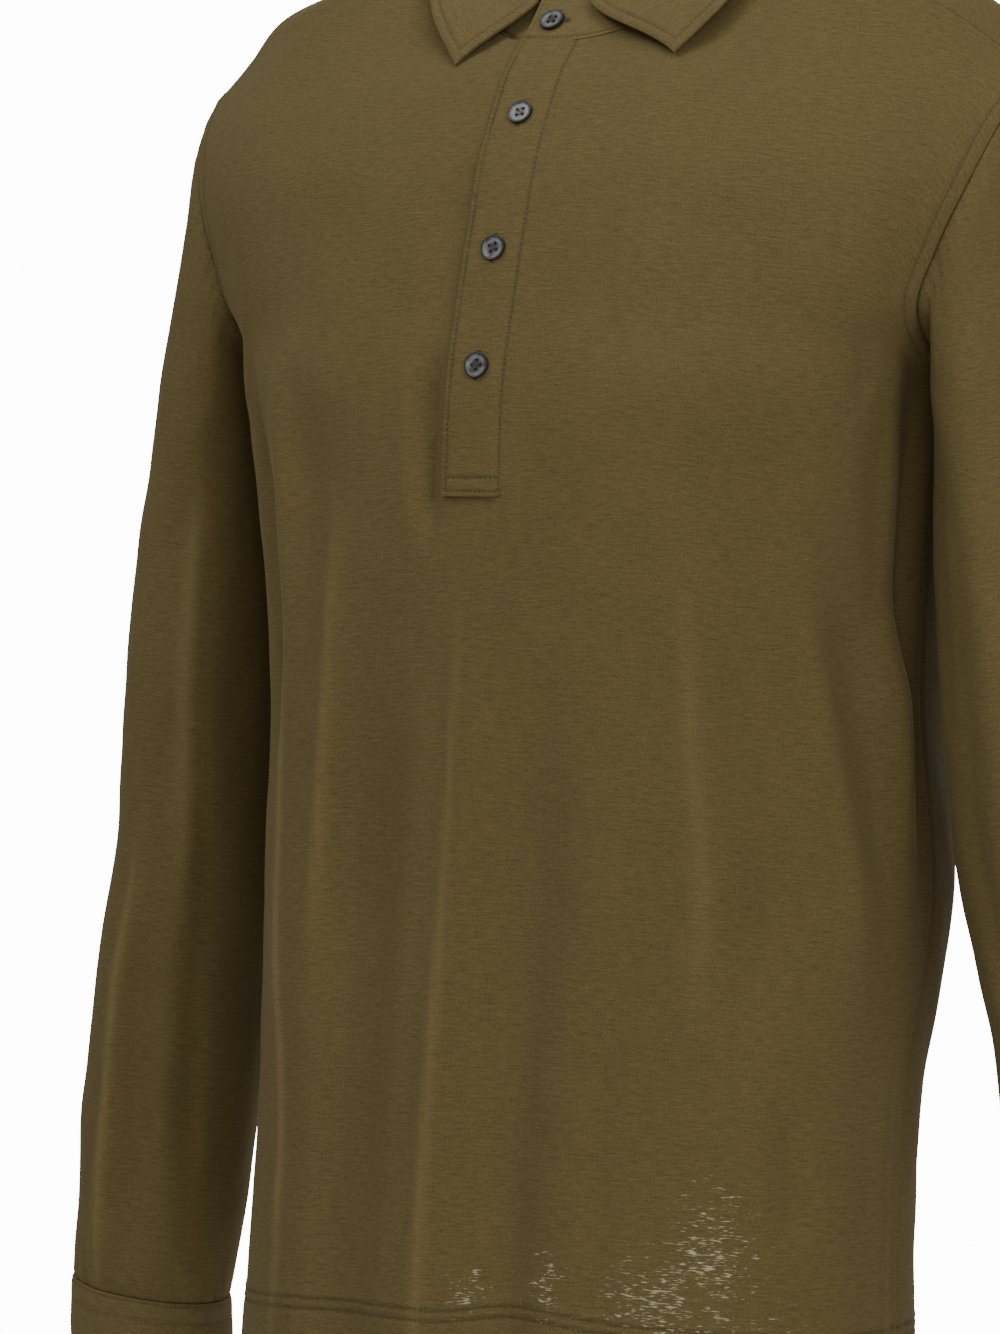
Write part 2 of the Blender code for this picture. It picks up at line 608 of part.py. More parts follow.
def stand_point(angle, share):
    """A place on the collar stand's outer face, share 0 at the neckline and 1 on top."""
    angle = np.asarray(angle, float)
    base = neckline(angle)
    ahead = np.cos(angle)
    top_reach = np.where(ahead > 0, 0.0575, 0.0590)
    top_front_z = 0.0300 - 0.0820 * (1.0 - np.clip(1.0 - ahead, 0, 1) ** 1.2)
    top_z = np.where(ahead > 0, top_front_z, 0.0300 - 0.0080 * ahead)
    top = np.stack([0.0665 * np.sin(angle), NECK_CENTRE_Y - top_reach * ahead, top_z], axis=-1)
    place = base + (top - base) * share
    outward = unit(np.stack([np.sin(angle), -ahead, 0.25 + 0.45 * np.clip(ahead, 0, 1)], axis=-1))
    late = smooth_step((angle - math.radians(285)) / math.radians(55))
    proud = STAND_PROUD * smooth_step((ahead - 0.75) / 0.2)
    return place + outward * (proud - STAND_LAYER_SHIFT * late)[..., None]


def stand_angles():
    """Angles of the stand's columns: those of the panels below it, then its two laps."""
    front, back = front_columns(), back_columns()
    half = np.concatenate([front_angles(front[front >= 0]), back_angles(back[back >= 0])])
    half = np.unique(np.round(half, 6))
    lap = math.asin(STAND_LAP / NECK_HALF_WIDTH)
    around = np.concatenate([half, (2 * math.pi - half[:-1])[::-1]])
    return np.concatenate([[-lap, -lap / 2], around, [2 * math.pi + lap / 2, 2 * math.pi + lap]])


def halved(angles):
    """The angles with another halfway between each two."""
    return np.interp(np.arange(2 * len(angles) - 1) / 2, np.arange(len(angles)), angles)


def leaf_angles():
    """Angles of the leaf's columns: the stand's, closer together where the neck turns down."""
    angles = halved(stand_angles())
    turning = np.abs(np.abs(angles - math.pi) - math.pi / 2) < LEAF_TURN_REACH
    kept = (np.arange(len(angles)) % 2 == 0) | turning
    inside = (angles > LEAF_FRONT_LEFT + 0.05) & (angles < LEAF_FRONT_RIGHT - 0.05)
    angles = angles[kept & inside][::-1]
    return np.concatenate([[LEAF_FRONT_RIGHT], angles, [LEAF_FRONT_LEFT]])


def collar_stand(skin):
    """The band round the neck; its left end laps over its right end at the front."""
    angles = halved(stand_angles())
    shares = (0.0, 0.35, 0.7, 1.0)
    grid = np.array([stand_point(angles, share) for share in shares])
    grid[0, 1::2] = (grid[0, :-1:2] + grid[0, 2::2]) / 2
    up = unit(grid[1] - grid[0])
    grid = grid + up[None] * STAND_LIFT
    normals = grid_normals(grid)
    wall("collar_stand", grid, normals, STAND_WALL, skin)
    return grid, normals


def leaf_edge(turns):
    """The leaf's outer edge at turns from -1 (right point) through 0 (back) to 1."""
    table = np.array([(edge.x, edge.y, edge.z) for edge in LEAF_EDGE])
    knots = np.array([edge.turn for edge in LEAF_EDGE])
    fine = loft(table[:, None, :], [8] * (len(table) - 1))[:, 0]
    places = np.interp(np.arange(len(fine)) / 8, np.arange(len(knots)), knots)
    side = np.abs(turns)
    points = np.stack([np.interp(side, places, fine[:, axis]) for axis in range(3)], axis=-1)
    points = np.where((np.asarray(turns) < 0)[:, None], mirrored(points), points)
    shift = np.where((np.asarray(turns) < 0)[:, None], RIGHT_POINT_SHIFT, LEFT_POINT_SHIFT)
    return points + shift * smooth_step((side - 0.5) / 0.5)[:, None]


def collar_leaf(skin):
    """The turned-down leaf: a small roll over the stand's top, then a fall to its edge."""
    angles = leaf_angles()
    turns = np.interp(angles, [LEAF_FRONT_LEFT, math.pi, LEAF_FRONT_RIGHT], [1, 0, -1])
    top = stand_point(angles, 1.0)
    up = unit(top - stand_point(angles, 0.7))
    ahead = np.gradient(top, axis=0)
    out = unit(np.cross(up, ahead))
    centre = top + up * (STAND_LIFT + ROLL_LIFT) + out * ROLL_CENTRE
    rows, roll = [], []
    for degrees in (180, 135, 90, 45, 0):
        turn = math.radians(degrees)
        roll.append(out * math.cos(turn) + up * math.sin(turn))
        rows.append(centre + roll[-1] * ROLL_RADIUS)
    start = rows[-1]
    end = leaf_edge(turns)
    fall = np.linalg.norm(end - start, axis=1)[:, None]
    first_pull = start - up * fall * 0.30 + out * fall * 0.06
    last_pull = end - unit(end - start) * fall * 0.3 + np.array([0.0, 0.0, 0.10]) * fall * 0.6
    for share in (0.15, 0.32, 0.5, 0.68, 0.84, 0.93, 1.0):
        rest = 1 - share
        rows.append(start * rest**3 + 3 * first_pull * rest**2 * share
                    + 3 * last_pull * rest * share**2 + end * share**3)
    grid = np.array(rows)
    normals = grid_normals(grid)
    normals[: len(roll)] = roll
    wall("collar", grid, normals, WALL, skin)


def button(name, place, normal, turn, skin):
    """A four-hole button that lies on the cloth at a place, its face along the normal."""
    profile = ((0.0, 0.0), (0.0055, 0.0), (BUTTON_RADIUS, 0.0007), (BUTTON_RADIUS, 0.0015),
               (0.0058, 0.0023), (0.0050, 0.0025), (0.0043, 0.0019), (0.0036, 0.0017), (0.0, 0.0017))
    vertices, faces = [], []
    rim = profile[1:-1]
    for radius, height in rim:
        for side in range(BUTTON_SIDES):
            angle = 2 * math.pi * side / BUTTON_SIDES
            vertices.append((radius * math.cos(angle), radius * math.sin(angle), height))
    for level in range(len(rim) - 1):
        for side in range(BUTTON_SIDES):
            beside = (side + 1) % BUTTON_SIDES
            low, high = level * BUTTON_SIDES, (level + 1) * BUTTON_SIDES
            faces.append((low + side, low + beside, high + beside, high + side))
    faces.append(tuple(range(BUTTON_SIDES))[::-1])
    faces.append(tuple(range((len(rim) - 1) * BUTTON_SIDES, len(rim) * BUTTON_SIDES)))
    item = solid(name, vertices, faces, skin)
    cutter_mesh = bmesh.new()
    for across, up in ((-1, -1), (-1, 1), (1, -1), (1, 1)):
        centre = Matrix.Translation((across * HOLE_PITCH, up * HOLE_PITCH, 0.001))
        bmesh.ops.create_cone(cutter_mesh, cap_ends=True, segments=8, radius1=HOLE_RADIUS,
                              radius2=HOLE_RADIUS, depth=0.006, matrix=centre)
    mesh = bpy.data.meshes.new(name + "_holes")
    cutter_mesh.to_mesh(mesh)
    cutter_mesh.free()
    cutter = bpy.data.objects.new(name + "_holes", mesh)
    cutter.hide_render = True
    cutter.display_type = "WIRE"
    bpy.context.scene.collection.objects.link(cutter)
    cut = item.modifiers.new("holes", "BOOLEAN")
    cut.operation = "DIFFERENCE"
    cut.solver = "EXACT"
    cut.object = cutter
    facing = Vector(normal).to_track_quat("Z", "Y").to_matrix().to_4x4()
    pose = Matrix.Translation(Vector(place)) @ facing @ Matrix.Rotation(turn, 4, "Z")
    item.matrix_world = pose
    cutter.matrix_world = pose
    return item


def buttons(lap, lap_normals, skin):
    """Three buttons down the placket and one on the collar stand."""
    middle = lap.shape[1] // 2
    line, line_normals = lap[:, middle], lap_normals[:, middle]
    for number, (z, turn) in enumerate(zip(PLACKET_BUTTON_Z, BUTTON_TURNS), start=1):
        point = np.array([0.0, np.interp(z, line[:, 2], line[:, 1]), z])
        normal = unit([0.0] + [np.interp(z, line[:, 2], line_normals[:, axis]) for axis in (1, 2)])
        button(f"button_{number}", point + normal * 2 * SEAM_GAP, normal, turn, skin)
    angle = -0.05
    low, high = stand_point(angle, 0.2), stand_point(angle, 0.8)
    beside = stand_point(angle + 0.05, 0.5) - stand_point(angle - 0.05, 0.5)
    normal = unit(np.cross(beside, high - low))
    place = stand_point(angle, 0.5) + normal * 3 * SEAM_GAP
    button("button_stand", place, normal, 0.0, skin)


def build():
    """Make every piece of the shirt."""
    clear_scene()
    cloth = material("olive_jersey", OLIVE, 0.85)
    trim = material("olive_jersey_doubled", OLIVE_LIGHT, 0.85)
    shell = material("grey_shell", SHELL_GREY, 0.25)
    front, front_normals, columns = front_panel()
    back, back_normals, _ = back_panel()
    slit_start = sum(row.steps for row in FRONT_ROWS[: SLIT_ROW + 1])
    keep = np.ones((len(front) - 1, len(columns) - 1), bool)
    keep[slit_start:, FRONT_SIDE_COLUMNS : FRONT_SIDE_COLUMNS + 2] = False
    wall("front", front, front_normals, WALL, cloth, keep=keep)
    wall("back", back, back_normals, WALL, cloth)
    armhole, top = armhole_ring(front, back)
    edge_normals, _ = armhole_ring(front_normals, back_normals)
    for side in ("left", "right"):
        folds, inner_shift = SLEEVE_FOLDS[side], SLEEVE_INNER_SHIFT[side]
        grid, normals = sleeve(armhole, top, edge_normals, folds, inner_shift)
        band, band_normals = cuff(grid[-1], normals[-1])
        if side == "right":
            grid, normals = mirrored(grid), mirrored(normals)
            band, band_normals = mirrored(band), mirrored(band_normals)
        wall(f"sleeve_{side}", grid, normals, WALL, cloth, closed=True)
        wall(f"cuff_{side}", band, band_normals, CUFF_WALL, trim, closed=True)
    lap, lap_normals = plackets(front, trim)
    collar_stand(trim)
    collar_leaf(trim)
    buttons(lap, lap_normals, shell)


build()
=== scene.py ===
"""Dark olive long-sleeve polo shirt in slub jersey, hollow and open as it stands when worn.

Metres, +Z up. The front faces -Y and the wearer's left is +X. The origin lies on the centre
line, level with the points where the shoulders meet the neck.
"""

import logging
import math
from collections.abc import Callable, Iterable
from dataclasses import dataclass, field
from enum import Enum

import bmesh
import bpy
import numpy as np
from mathutils import Matrix, Vector
from mathutils.kdtree import KDTree


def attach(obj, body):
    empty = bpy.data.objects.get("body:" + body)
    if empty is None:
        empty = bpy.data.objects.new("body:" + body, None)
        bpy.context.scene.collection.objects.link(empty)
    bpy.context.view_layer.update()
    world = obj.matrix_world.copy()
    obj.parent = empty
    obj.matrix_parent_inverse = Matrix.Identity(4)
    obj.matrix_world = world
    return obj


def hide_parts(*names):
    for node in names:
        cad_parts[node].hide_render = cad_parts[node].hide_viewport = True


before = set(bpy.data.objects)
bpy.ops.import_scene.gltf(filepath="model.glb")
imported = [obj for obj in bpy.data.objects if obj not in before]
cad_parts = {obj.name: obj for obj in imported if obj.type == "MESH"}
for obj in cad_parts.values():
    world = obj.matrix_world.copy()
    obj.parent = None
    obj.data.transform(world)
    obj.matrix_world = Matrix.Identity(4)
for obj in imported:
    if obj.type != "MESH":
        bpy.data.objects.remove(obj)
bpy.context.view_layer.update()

LOG = logging.getLogger("shirt")

# Cloth and seams
WALL = 0.0013
SEAM_GAP = 0.0003
ARMHOLE_GAP = 0.0003
STAND_WALL = 0.0018
CUFF_WALL = 0.0020
MESH_STEP = 0.0036
SHARP_ANGLE = math.radians(60)

# Neck and collar
NECK_HALF_WIDTH = 0.072
NECK_CENTRE_Y = 0.012
NECK_FRONT_REACH = 0.075
NECK_BACK_REACH = 0.066
NECK_FRONT_DROP = 0.073
NECK_BACK_RISE = 0.006
NECK_DROP_CURVE = 1.2
SEAM_NECK_ANGLE = math.radians(52)
NECK_FALL_FRONT = 1.2
NECK_FALL_SIDE = 0.35
STAND_PROUD = 0.0010
STAND_LIFT = 0.0006
STAND_LAP = 0.0165
STAND_LAYER_SHIFT = 0.0036
ROLL_CENTRE = 0.0014
ROLL_RADIUS = 0.0030
ROLL_LIFT = 0.0006
LEAF_FRONT_LEFT = math.radians(12)
LEAF_FRONT_RIGHT = math.radians(345.2)
LEFT_POINT_SHIFT = (0.0075, 0.0, 0.0)
RIGHT_POINT_SHIFT = (0.0125, -0.0042, -0.0030)

# Front opening
PLACKET_HALF_WIDTH = 0.017
SLIT_HALF_WIDTH = 0.0145
SLIT_COLUMN = 0.07
PLACKET_WALL = 0.0016
FLUSH_WALL = 0.0002
SLIT_ROW = 4
UNDERARM_ROW = 5

# Buttons
BUTTON_RADIUS = 0.00635
HOLE_RADIUS = 0.00085
HOLE_PITCH = 0.0016
BUTTONHOLE_LENGTH = 0.0150
PLACKET_BUTTON_Z = (-0.1085, -0.1745, -0.2310)
BUTTON_TURNS = (math.radians(8), math.radians(20), math.radians(45))

# Cuffs and hem
CUFF_DEPTH = 0.050
CUFF_PROUD = 0.0012
HEM_STITCH_LEVELS = (0.0215, 0.0268)
ARMHOLE_STITCH = 0.0066
STITCH_PITCH = 0.0026

FRONT_NECK_END = SLIT_COLUMN + (1 - SLIT_COLUMN) * 5 / 14
BACK_NECK_END = 8 / 17
PANEL_BREADTH = 0.26
SLEEVE_BREADTH = 0.17

# How folds, waves and curves are drawn
FOLD_FADE = 0.3
FOLD_EDGE_FADE = 0.08
CURVE_SAMPLES = 12
LINE_STEP = 0.0006
WAVE_COUNT = 6
WAVE_UPRIGHT = 0.55
WAVE_SPREAD = (0.6, 1.5)
WAVE_SCALE = 3.0
WAVE_TURN = 6.28


class Side(Enum):
    """The wearer's own sides."""

    LEFT = "left"
    RIGHT = "right"


class Slot(Enum):
    """Material slots of the record."""

    CLOTH = "cloth"
    DOUBLED = "doubled_cloth"
    SHELL = "button_shell"


@dataclass(frozen=True)
class PanelRow:
    """A level row of a body panel, from its edges to the centre line."""

    edge_x: float
    edge_y: float
    edge_z: float
    centre_y: float
    centre_z: float
    reach: float
    square: float


@dataclass(frozen=True)
class SleeveRow:
    """A ring of the left sleeve between its outermost and innermost points."""

    outer_x: float
    outer_z: float
    inner_x: float
    inner_z: float
    front_y: float
    back_y: float


@dataclass(frozen=True)
class LeafEdge:
    """A place on the collar leaf's outer edge; turn is 0 at the back and 1 at the point."""

    turn: float
    x: float
    y: float
    z: float


@dataclass(frozen=True)
class Fold:
    """A soft ridge, or a trough if its height is below zero, through three places."""

    height: float
    width: float
    u_top: float
    z_top: float
    u_mid: float
    z_mid: float
    u_low: float
    z_low: float


@dataclass(frozen=True)
class ThinPlaceWithPaintedLight:
    """A worn place near the hem, where pale flecks painted into the cloth's colour stand for light that shows
    through the knit.
    """

    x: float
    z: float
    breadth: float
    height: float
    strength: float


FRONT_ROWS = (
    PanelRow(0.1760, -0.035, -0.722, -0.1550, -0.712, 1.00, 2.3),
    PanelRow(0.1727, -0.020, -0.590, -0.1470, -0.590, 1.00, 2.3),
    PanelRow(0.1780, 0.000, -0.490, -0.1410, -0.490, 1.00, 2.3),
    PanelRow(0.1715, 0.000, -0.390, -0.1410, -0.390, 1.00, 2.4),
    PanelRow(0.1780, 0.001, -0.288, -0.1390, -0.290, 1.00, 2.6),
    PanelRow(0.1850, 0.003, -0.236, -0.1345, -0.238, 1.00, 2.8),
    PanelRow(0.1925, -0.050, -0.205, -0.1245, -0.200, 0.93, 2.5),
    PanelRow(0.2035, -0.052, -0.176, -0.1140, -0.165, 0.90, 2.3),
    PanelRow(0.2160, -0.045, -0.146, -0.1020, -0.130, 0.88, 2.2),
    PanelRow(0.2250, -0.030, -0.118, -0.0850, -0.099, 0.85, 2.1),
)
BACK_ROWS = (
    PanelRow(0.1760, -0.035, -0.722, 0.0670, -0.726, 1.00, 2.2),
    PanelRow(0.1727, -0.020, -0.590, 0.0850, -0.590, 1.00, 2.2),
    PanelRow(0.1780, 0.000, -0.490, 0.1100, -0.490, 1.00, 2.3),
    PanelRow(0.1715, 0.000, -0.390, 0.1180, -0.390, 1.00, 2.3),
    PanelRow(0.1780, 0.001, -0.288, 0.1230, -0.282, 1.00, 2.4),
    PanelRow(0.1850, 0.003, -0.236, 0.1250, -0.225, 1.00, 2.5),
    PanelRow(0.1940, 0.066, -0.207, 0.1250, -0.170, 0.93, 2.4),
    PanelRow(0.2050, 0.075, -0.178, 0.1210, -0.125, 0.90, 2.3),
    PanelRow(0.2165, 0.066, -0.150, 0.1130, -0.080, 0.88, 2.2),
    PanelRow(0.2268, 0.042, -0.120, 0.1000, -0.040, 0.85, 2.1),
)
SHOULDER_SEAM = ((0.115, -0.028, -0.0380), (0.180, -0.013, -0.0540), (0.234, 0.000, -0.0925))
SHOULDER_CREST = (
    (0.087, 0.015, -0.0070),
    (0.157, 0.010, -0.0375),
    (0.205, 0.012, -0.0560),
    (0.2325, 0.018, -0.0950),
)
SLEEVE_ROWS = (
    SleeveRow(0.2375, -0.106, 0.1886, -0.2415, -0.0560, 0.078),
    SleeveRow(0.2400, -0.130, 0.1888, -0.2500, -0.0570, 0.080),
    SleeveRow(0.2440, -0.165, 0.1885, -0.2620, -0.0580, 0.081),
    SleeveRow(0.2500, -0.205, 0.1878, -0.2770, -0.0590, 0.080),
    SleeveRow(0.2560, -0.250, 0.1870, -0.2960, -0.0600, 0.077),
    SleeveRow(0.2640, -0.300, 0.1870, -0.3280, -0.0620, 0.071),
    SleeveRow(0.2740, -0.385, 0.1925, -0.4000, -0.0630, 0.062),
    SleeveRow(0.2845, -0.472, 0.1990, -0.4840, -0.0560, 0.060),
    SleeveRow(0.2980, -0.534, 0.2120, -0.5460, -0.0520, 0.057),
    SleeveRow(0.3045, -0.580, 0.2185, -0.5900, -0.0500, 0.052),
    SleeveRow(0.3090, -0.613, 0.2225, -0.6200, -0.0490, 0.046),
    SleeveRow(0.3110, -0.657, 0.2270, -0.6650, -0.0490, 0.041),
    SleeveRow(0.3135, -0.695, 0.2335, -0.7060, -0.0470, 0.034),
    SleeveRow(0.3140, -0.705, 0.2345, -0.7170, -0.0455, 0.031),
)
ARMHOLE_SHARES = (0.85, 0.65, 0.40, 0.15)
SLEEVE_INNER_SHIFT = {Side.LEFT: 0.0025, Side.RIGHT: -0.0045}
INNER_SHIFT_TOP = -0.46
INNER_SHIFT_RUN = 0.12
LEAF_EDGE = (
    LeafEdge(0.00, 0.0000, 0.1020, -0.0080),
    LeafEdge(0.25, 0.0620, 0.0850, -0.0100),
    LeafEdge(0.45, 0.0950, 0.0450, -0.0095),
    LeafEdge(0.60, 0.1000, 0.0115, -0.0108),
    LeafEdge(0.75, 0.0970, -0.0230, -0.0268),
    LeafEdge(0.88, 0.0830, -0.0510, -0.0552),
    LeafEdge(1.00, 0.0625, -0.0674, -0.0794),
)

FRONT_FOLDS = (
    Fold(0.0056, 0.018, -0.50, -0.200, -0.47, -0.340, -0.57, -0.620),
    Fold(-0.0080, 0.017, -0.76, -0.190, -0.61, -0.290, -0.60, -0.440),
    Fold(0.0048, 0.020, -0.29, -0.300, -0.37, -0.430, -0.42, -0.620),
    Fold(-0.0088, 0.026, -0.15, -0.300, -0.22, -0.460, -0.25, -0.860),
    Fold(0.0072, 0.014, 0.03, -0.310, -0.03, -0.440, -0.12, -0.860),
    Fold(-0.0072, 0.020, 0.17, -0.320, 0.13, -0.450, 0.08, -0.820),
    Fold(0.0048, 0.022, 0.43, -0.280, 0.45, -0.420, 0.44, -0.640),
    Fold(-0.0056, 0.024, 0.53, -0.220, 0.58, -0.360, 0.56, -0.580),
    Fold(-0.0096, 0.018, 0.69, -0.290, 0.80, -0.390, 0.87, -0.540),
    Fold(0.0072, 0.015, 0.66, -0.310, 0.74, -0.410, 0.80, -0.550),
    Fold(-0.0128, 0.020, 0.93, -0.200, 0.93, -0.270, 0.95, -0.400),
)
BACK_FOLDS = (
    Fold(-0.0080, 0.026, -0.38, -0.280, -0.30, -0.450, -0.34, -0.840),
    Fold(-0.0072, 0.024, 0.28, -0.300, 0.36, -0.460, 0.30, -0.860),
    Fold(0.0064, 0.018, -0.12, -0.340, -0.07, -0.500, -0.13, -0.860),
    Fold(-0.0064, 0.021, 0.05, -0.380, 0.07, -0.520, 0.09, -0.840),
    Fold(-0.0080, 0.020, -0.74, -0.240, -0.66, -0.380, -0.70, -0.640),
    Fold(-0.0088, 0.021, 0.76, -0.230, 0.67, -0.360, 0.70, -0.600),
    Fold(0.0056, 0.017, 0.55, -0.320, 0.52, -0.470, 0.56, -0.800),
)
SLEEVE_FOLDS = {
    Side.RIGHT: (
        Fold(-0.0042, 0.016, 0.50, -0.250, 0.54, -0.360, 0.56, -0.500),
        Fold(0.0042, 0.015, 0.63, -0.280, 0.66, -0.420, 0.71, -0.600),
        Fold(0.0035, 0.010, 0.44, -0.500, 0.45, -0.610, 0.44, -0.730),
        Fold(-0.0042, 0.012, 0.53, -0.500, 0.56, -0.610, 0.60, -0.720),
        Fold(-0.0049, 0.016, -0.52, -0.300, -0.46, -0.420, -0.50, -0.600),
        Fold(0.0042, 0.014, -0.30, -0.340, -0.34, -0.460, -0.30, -0.640),
    ),
    Side.LEFT: (
        Fold(-0.0042, 0.017, 0.58, -0.250, 0.61, -0.380, 0.59, -0.540),
        Fold(0.0042, 0.014, 0.40, -0.300, 0.43, -0.450, 0.41, -0.640),
        Fold(-0.0042, 0.013, 0.50, -0.500, 0.47, -0.610, 0.52, -0.720),
        Fold(0.0035, 0.012, 0.66, -0.480, 0.62, -0.600, 0.66, -0.720),
        Fold(-0.0049, 0.016, -0.48, -0.280, -0.52, -0.420, -0.48, -0.620),
        Fold(0.0042, 0.014, -0.32, -0.320, -0.28, -0.460, -0.33, -0.660),
    ),
}
FRONT_CREASES = (
    Fold(-0.0065, 0.0055, -0.120, -0.215, -0.112, -0.268, -0.108, -0.325),
    Fold(-0.0024, 0.0100, -0.125, -0.095, -0.118, -0.190, -0.112, -0.300),
    Fold(0.0016, 0.0070, -0.155, -0.220, -0.150, -0.270, -0.140, -0.340),
    Fold(0.0010, 0.0045, -0.020, -0.320, -0.065, -0.470, -0.100, -0.760),
    Fold(-0.0052, 0.0120, -0.250, -0.310, -0.310, -0.480, -0.345, -0.800),
    Fold(0.0058, 0.0130, -0.110, -0.330, -0.158, -0.480, -0.190, -0.800),
    Fold(-0.0030, 0.0140, -0.020, -0.330, -0.060, -0.480, -0.105, -0.800),
    Fold(0.0018, 0.0070, -0.315, -0.280, -0.340, -0.380, -0.385, -0.520),
    Fold(0.0022, 0.0060, -0.500, -0.200, -0.470, -0.320, -0.540, -0.480),
    Fold(-0.0030, 0.0150, -0.420, -0.200, -0.400, -0.290, -0.430, -0.420),
    Fold(-0.0022, 0.0180, 0.120, -0.420, 0.100, -0.560, 0.070, -0.800),
    Fold(0.0016, 0.0100, 0.132, -0.305, 0.085, -0.391, 0.020, -0.500),
    Fold(0.0014, 0.0090, 0.440, -0.330, 0.450, -0.400, 0.455, -0.480),
    Fold(0.0040, 0.0120, 0.690, -0.290, 0.800, -0.390, 0.870, -0.540),
    Fold(0.0100, 0.0120, 0.900, -0.200, 0.918, -0.330, 0.938, -0.500),
    Fold(-0.0140, 0.0080, 0.976, -0.200, 0.981, -0.330, 0.990, -0.530),
    Fold(-0.0015, 0.0070, 0.860, -0.205, 0.800, -0.232, 0.730, -0.262),
    Fold(-0.0014, 0.0070, -0.860, -0.205, -0.790, -0.240, -0.700, -0.290),
    Fold(0.0012, 0.0060, -0.820, -0.195, -0.745, -0.235, -0.650, -0.300),
    Fold(-0.0020, 0.0080, 0.300, -0.520, 0.280, -0.620, 0.290, -0.740),
    Fold(0.0012, 0.0080, 0.620, -0.500, 0.600, -0.600, 0.620, -0.730),
    Fold(-0.0030, 0.0080, 0.660, -0.580, 0.680, -0.612, 0.700, -0.655),
    Fold(0.0026, 0.0100, 0.930, -0.520, 0.935, -0.620, 0.945, -0.760),
    Fold(-0.0014, 0.0090, -0.700, -0.460, -0.690, -0.560, -0.720, -0.700),
    Fold(0.0012, 0.0070, -0.510, -0.480, -0.500, -0.580, -0.520, -0.700),
    Fold(-0.0012, 0.0060, 0.225, -0.150, 0.260, -0.190, 0.270, -0.250),
)
# Fold ridges lightened in colour through the crest mark: partly abrasion of the garment-dyed cloth, partly
# painted highlight.
FRONT_RIDGE_WEAR_AND_HIGHLIGHTS = (
    Fold(1.4, 0.0042, -0.500, -0.190, -0.496, -0.400, -0.512, -0.780),
    Fold(0.8, 0.0036, -0.315, -0.270, -0.345, -0.390, -0.390, -0.540),
    Fold(1.0, 0.0034, -0.010, -0.300, -0.065, -0.470, -0.102, -0.790),
    Fold(0.5, 0.0050, 0.430, -0.330, 0.445, -0.430, 0.440, -0.560),
)
BACK_CREASES = (
    Fold(-0.0016, 0.0080, -0.860, -0.210, -0.780, -0.250, -0.690, -0.310),
    Fold(-0.0016, 0.0080, 0.860, -0.210, 0.790, -0.245, 0.700, -0.300),
    Fold(0.0014, 0.0090, -0.240, -0.420, -0.200, -0.550, -0.230, -0.720),
    Fold(0.0014, 0.0090, 0.180, -0.400, 0.220, -0.540, 0.190, -0.720),
    Fold(-0.0013, 0.0080, -0.520, -0.380, -0.500, -0.500, -0.530, -0.690),
    Fold(-0.0013, 0.0080, 0.450, -0.430, 0.430, -0.560, 0.460, -0.720),
)
SLEEVE_CREASES = {
    Side.RIGHT: (
        Fold(0.0022, 0.0050, 0.440, -0.470, 0.442, -0.580, 0.440, -0.712),
        Fold(0.0011, 0.0040, 0.470, -0.620, 0.488, -0.668, 0.522, -0.712),
        Fold(0.0010, 0.0040, 0.405, -0.630, 0.412, -0.670, 0.404, -0.712),
        Fold(-0.0013, 0.0060, 0.664, -0.290, 0.690, -0.420, 0.722, -0.540),
        Fold(-0.0036, 0.0110, 0.690, -0.420, 0.735, -0.560, 0.790, -0.690),
        Fold(0.0012, 0.0060, 0.760, -0.500, 0.805, -0.600, 0.880, -0.700),
        Fold(-0.0013, 0.0070, 0.560, -0.260, 0.590, -0.360, 0.600, -0.470),
        Fold(0.0013, 0.0070, -0.560, -0.420, -0.520, -0.520, -0.540, -0.640),
    ),
    Side.LEFT: (
        Fold(0.0012, 0.0050, 0.450, -0.600, 0.460, -0.660, 0.452, -0.712),
        Fold(0.0011, 0.0045, 0.560, -0.610, 0.575, -0.665, 0.560, -0.712),
        Fold(-0.0014, 0.0070, 0.660, -0.250, 0.700, -0.340, 0.700, -0.450),
        Fold(-0.0120, 0.0160, 0.470, -0.105, 0.650, -0.165, 0.870, -0.255),
        Fold(0.0013, 0.0070, 0.500, -0.400, 0.520, -0.500, 0.500, -0.620),
        Fold(-0.0013, 0.0070, -0.600, -0.380, -0.560, -0.480, -0.590, -0.600),
    ),
}
# Sleeve ridges lightened in colour through the crest mark: partly abrasion, partly painted highlight.
SLEEVE_RIDGE_WEAR_AND_HIGHLIGHTS = {
    Side.RIGHT: (
        Fold(1.0, 0.0034, 0.440, -0.440, 0.442, -0.580, 0.440, -0.760),
        Fold(0.5, 0.0050, 0.600, -0.270, 0.615, -0.380, 0.640, -0.540),
    ),
    Side.LEFT: (Fold(0.6, 0.0040, 0.450, -0.480, 0.460, -0.620, 0.452, -0.760),),
}
# Places near the hem, worn so far that pale flecks are painted in for light showing through the knit.
THIN_PLACES_WITH_PAINTED_LIGHT = (
    ThinPlaceWithPaintedLight(0.121, -0.655, 0.020, 0.030, 1.00),
    ThinPlaceWithPaintedLight(0.098, -0.675, 0.024, 0.024, 1.00),
    ThinPlaceWithPaintedLight(0.125, -0.700, 0.030, 0.020, 0.90),
    ThinPlaceWithPaintedLight(0.046, -0.670, 0.010, 0.018, 1.00),
    ThinPlaceWithPaintedLight(0.003, -0.676, 0.010, 0.011, 1.00),
)


def unit(vectors: np.ndarray) -> np.ndarray:
    """Vectors scaled to length one along their last axis."""
    vectors = np.asarray(vectors, float)
    return vectors / np.maximum(np.linalg.norm(vectors, axis=-1, keepdims=True), 1e-12)


def smooth_step(value: np.ndarray) -> np.ndarray:
    """0 below 0, 1 above 1 and a soft rise between."""
    value = np.clip(value, 0.0, 1.0)
    return value * value * (3.0 - 2.0 * value)


def bell(distance: np.ndarray, width: float) -> np.ndarray:
    """1 at no distance, fading out within a few widths."""
    return np.exp(-((distance / width) ** 2))


def mirrored(points: np.ndarray) -> np.ndarray:
    """Points moved to the other side of the centre line."""
    return points * np.array([-1.0, 1.0, 1.0])


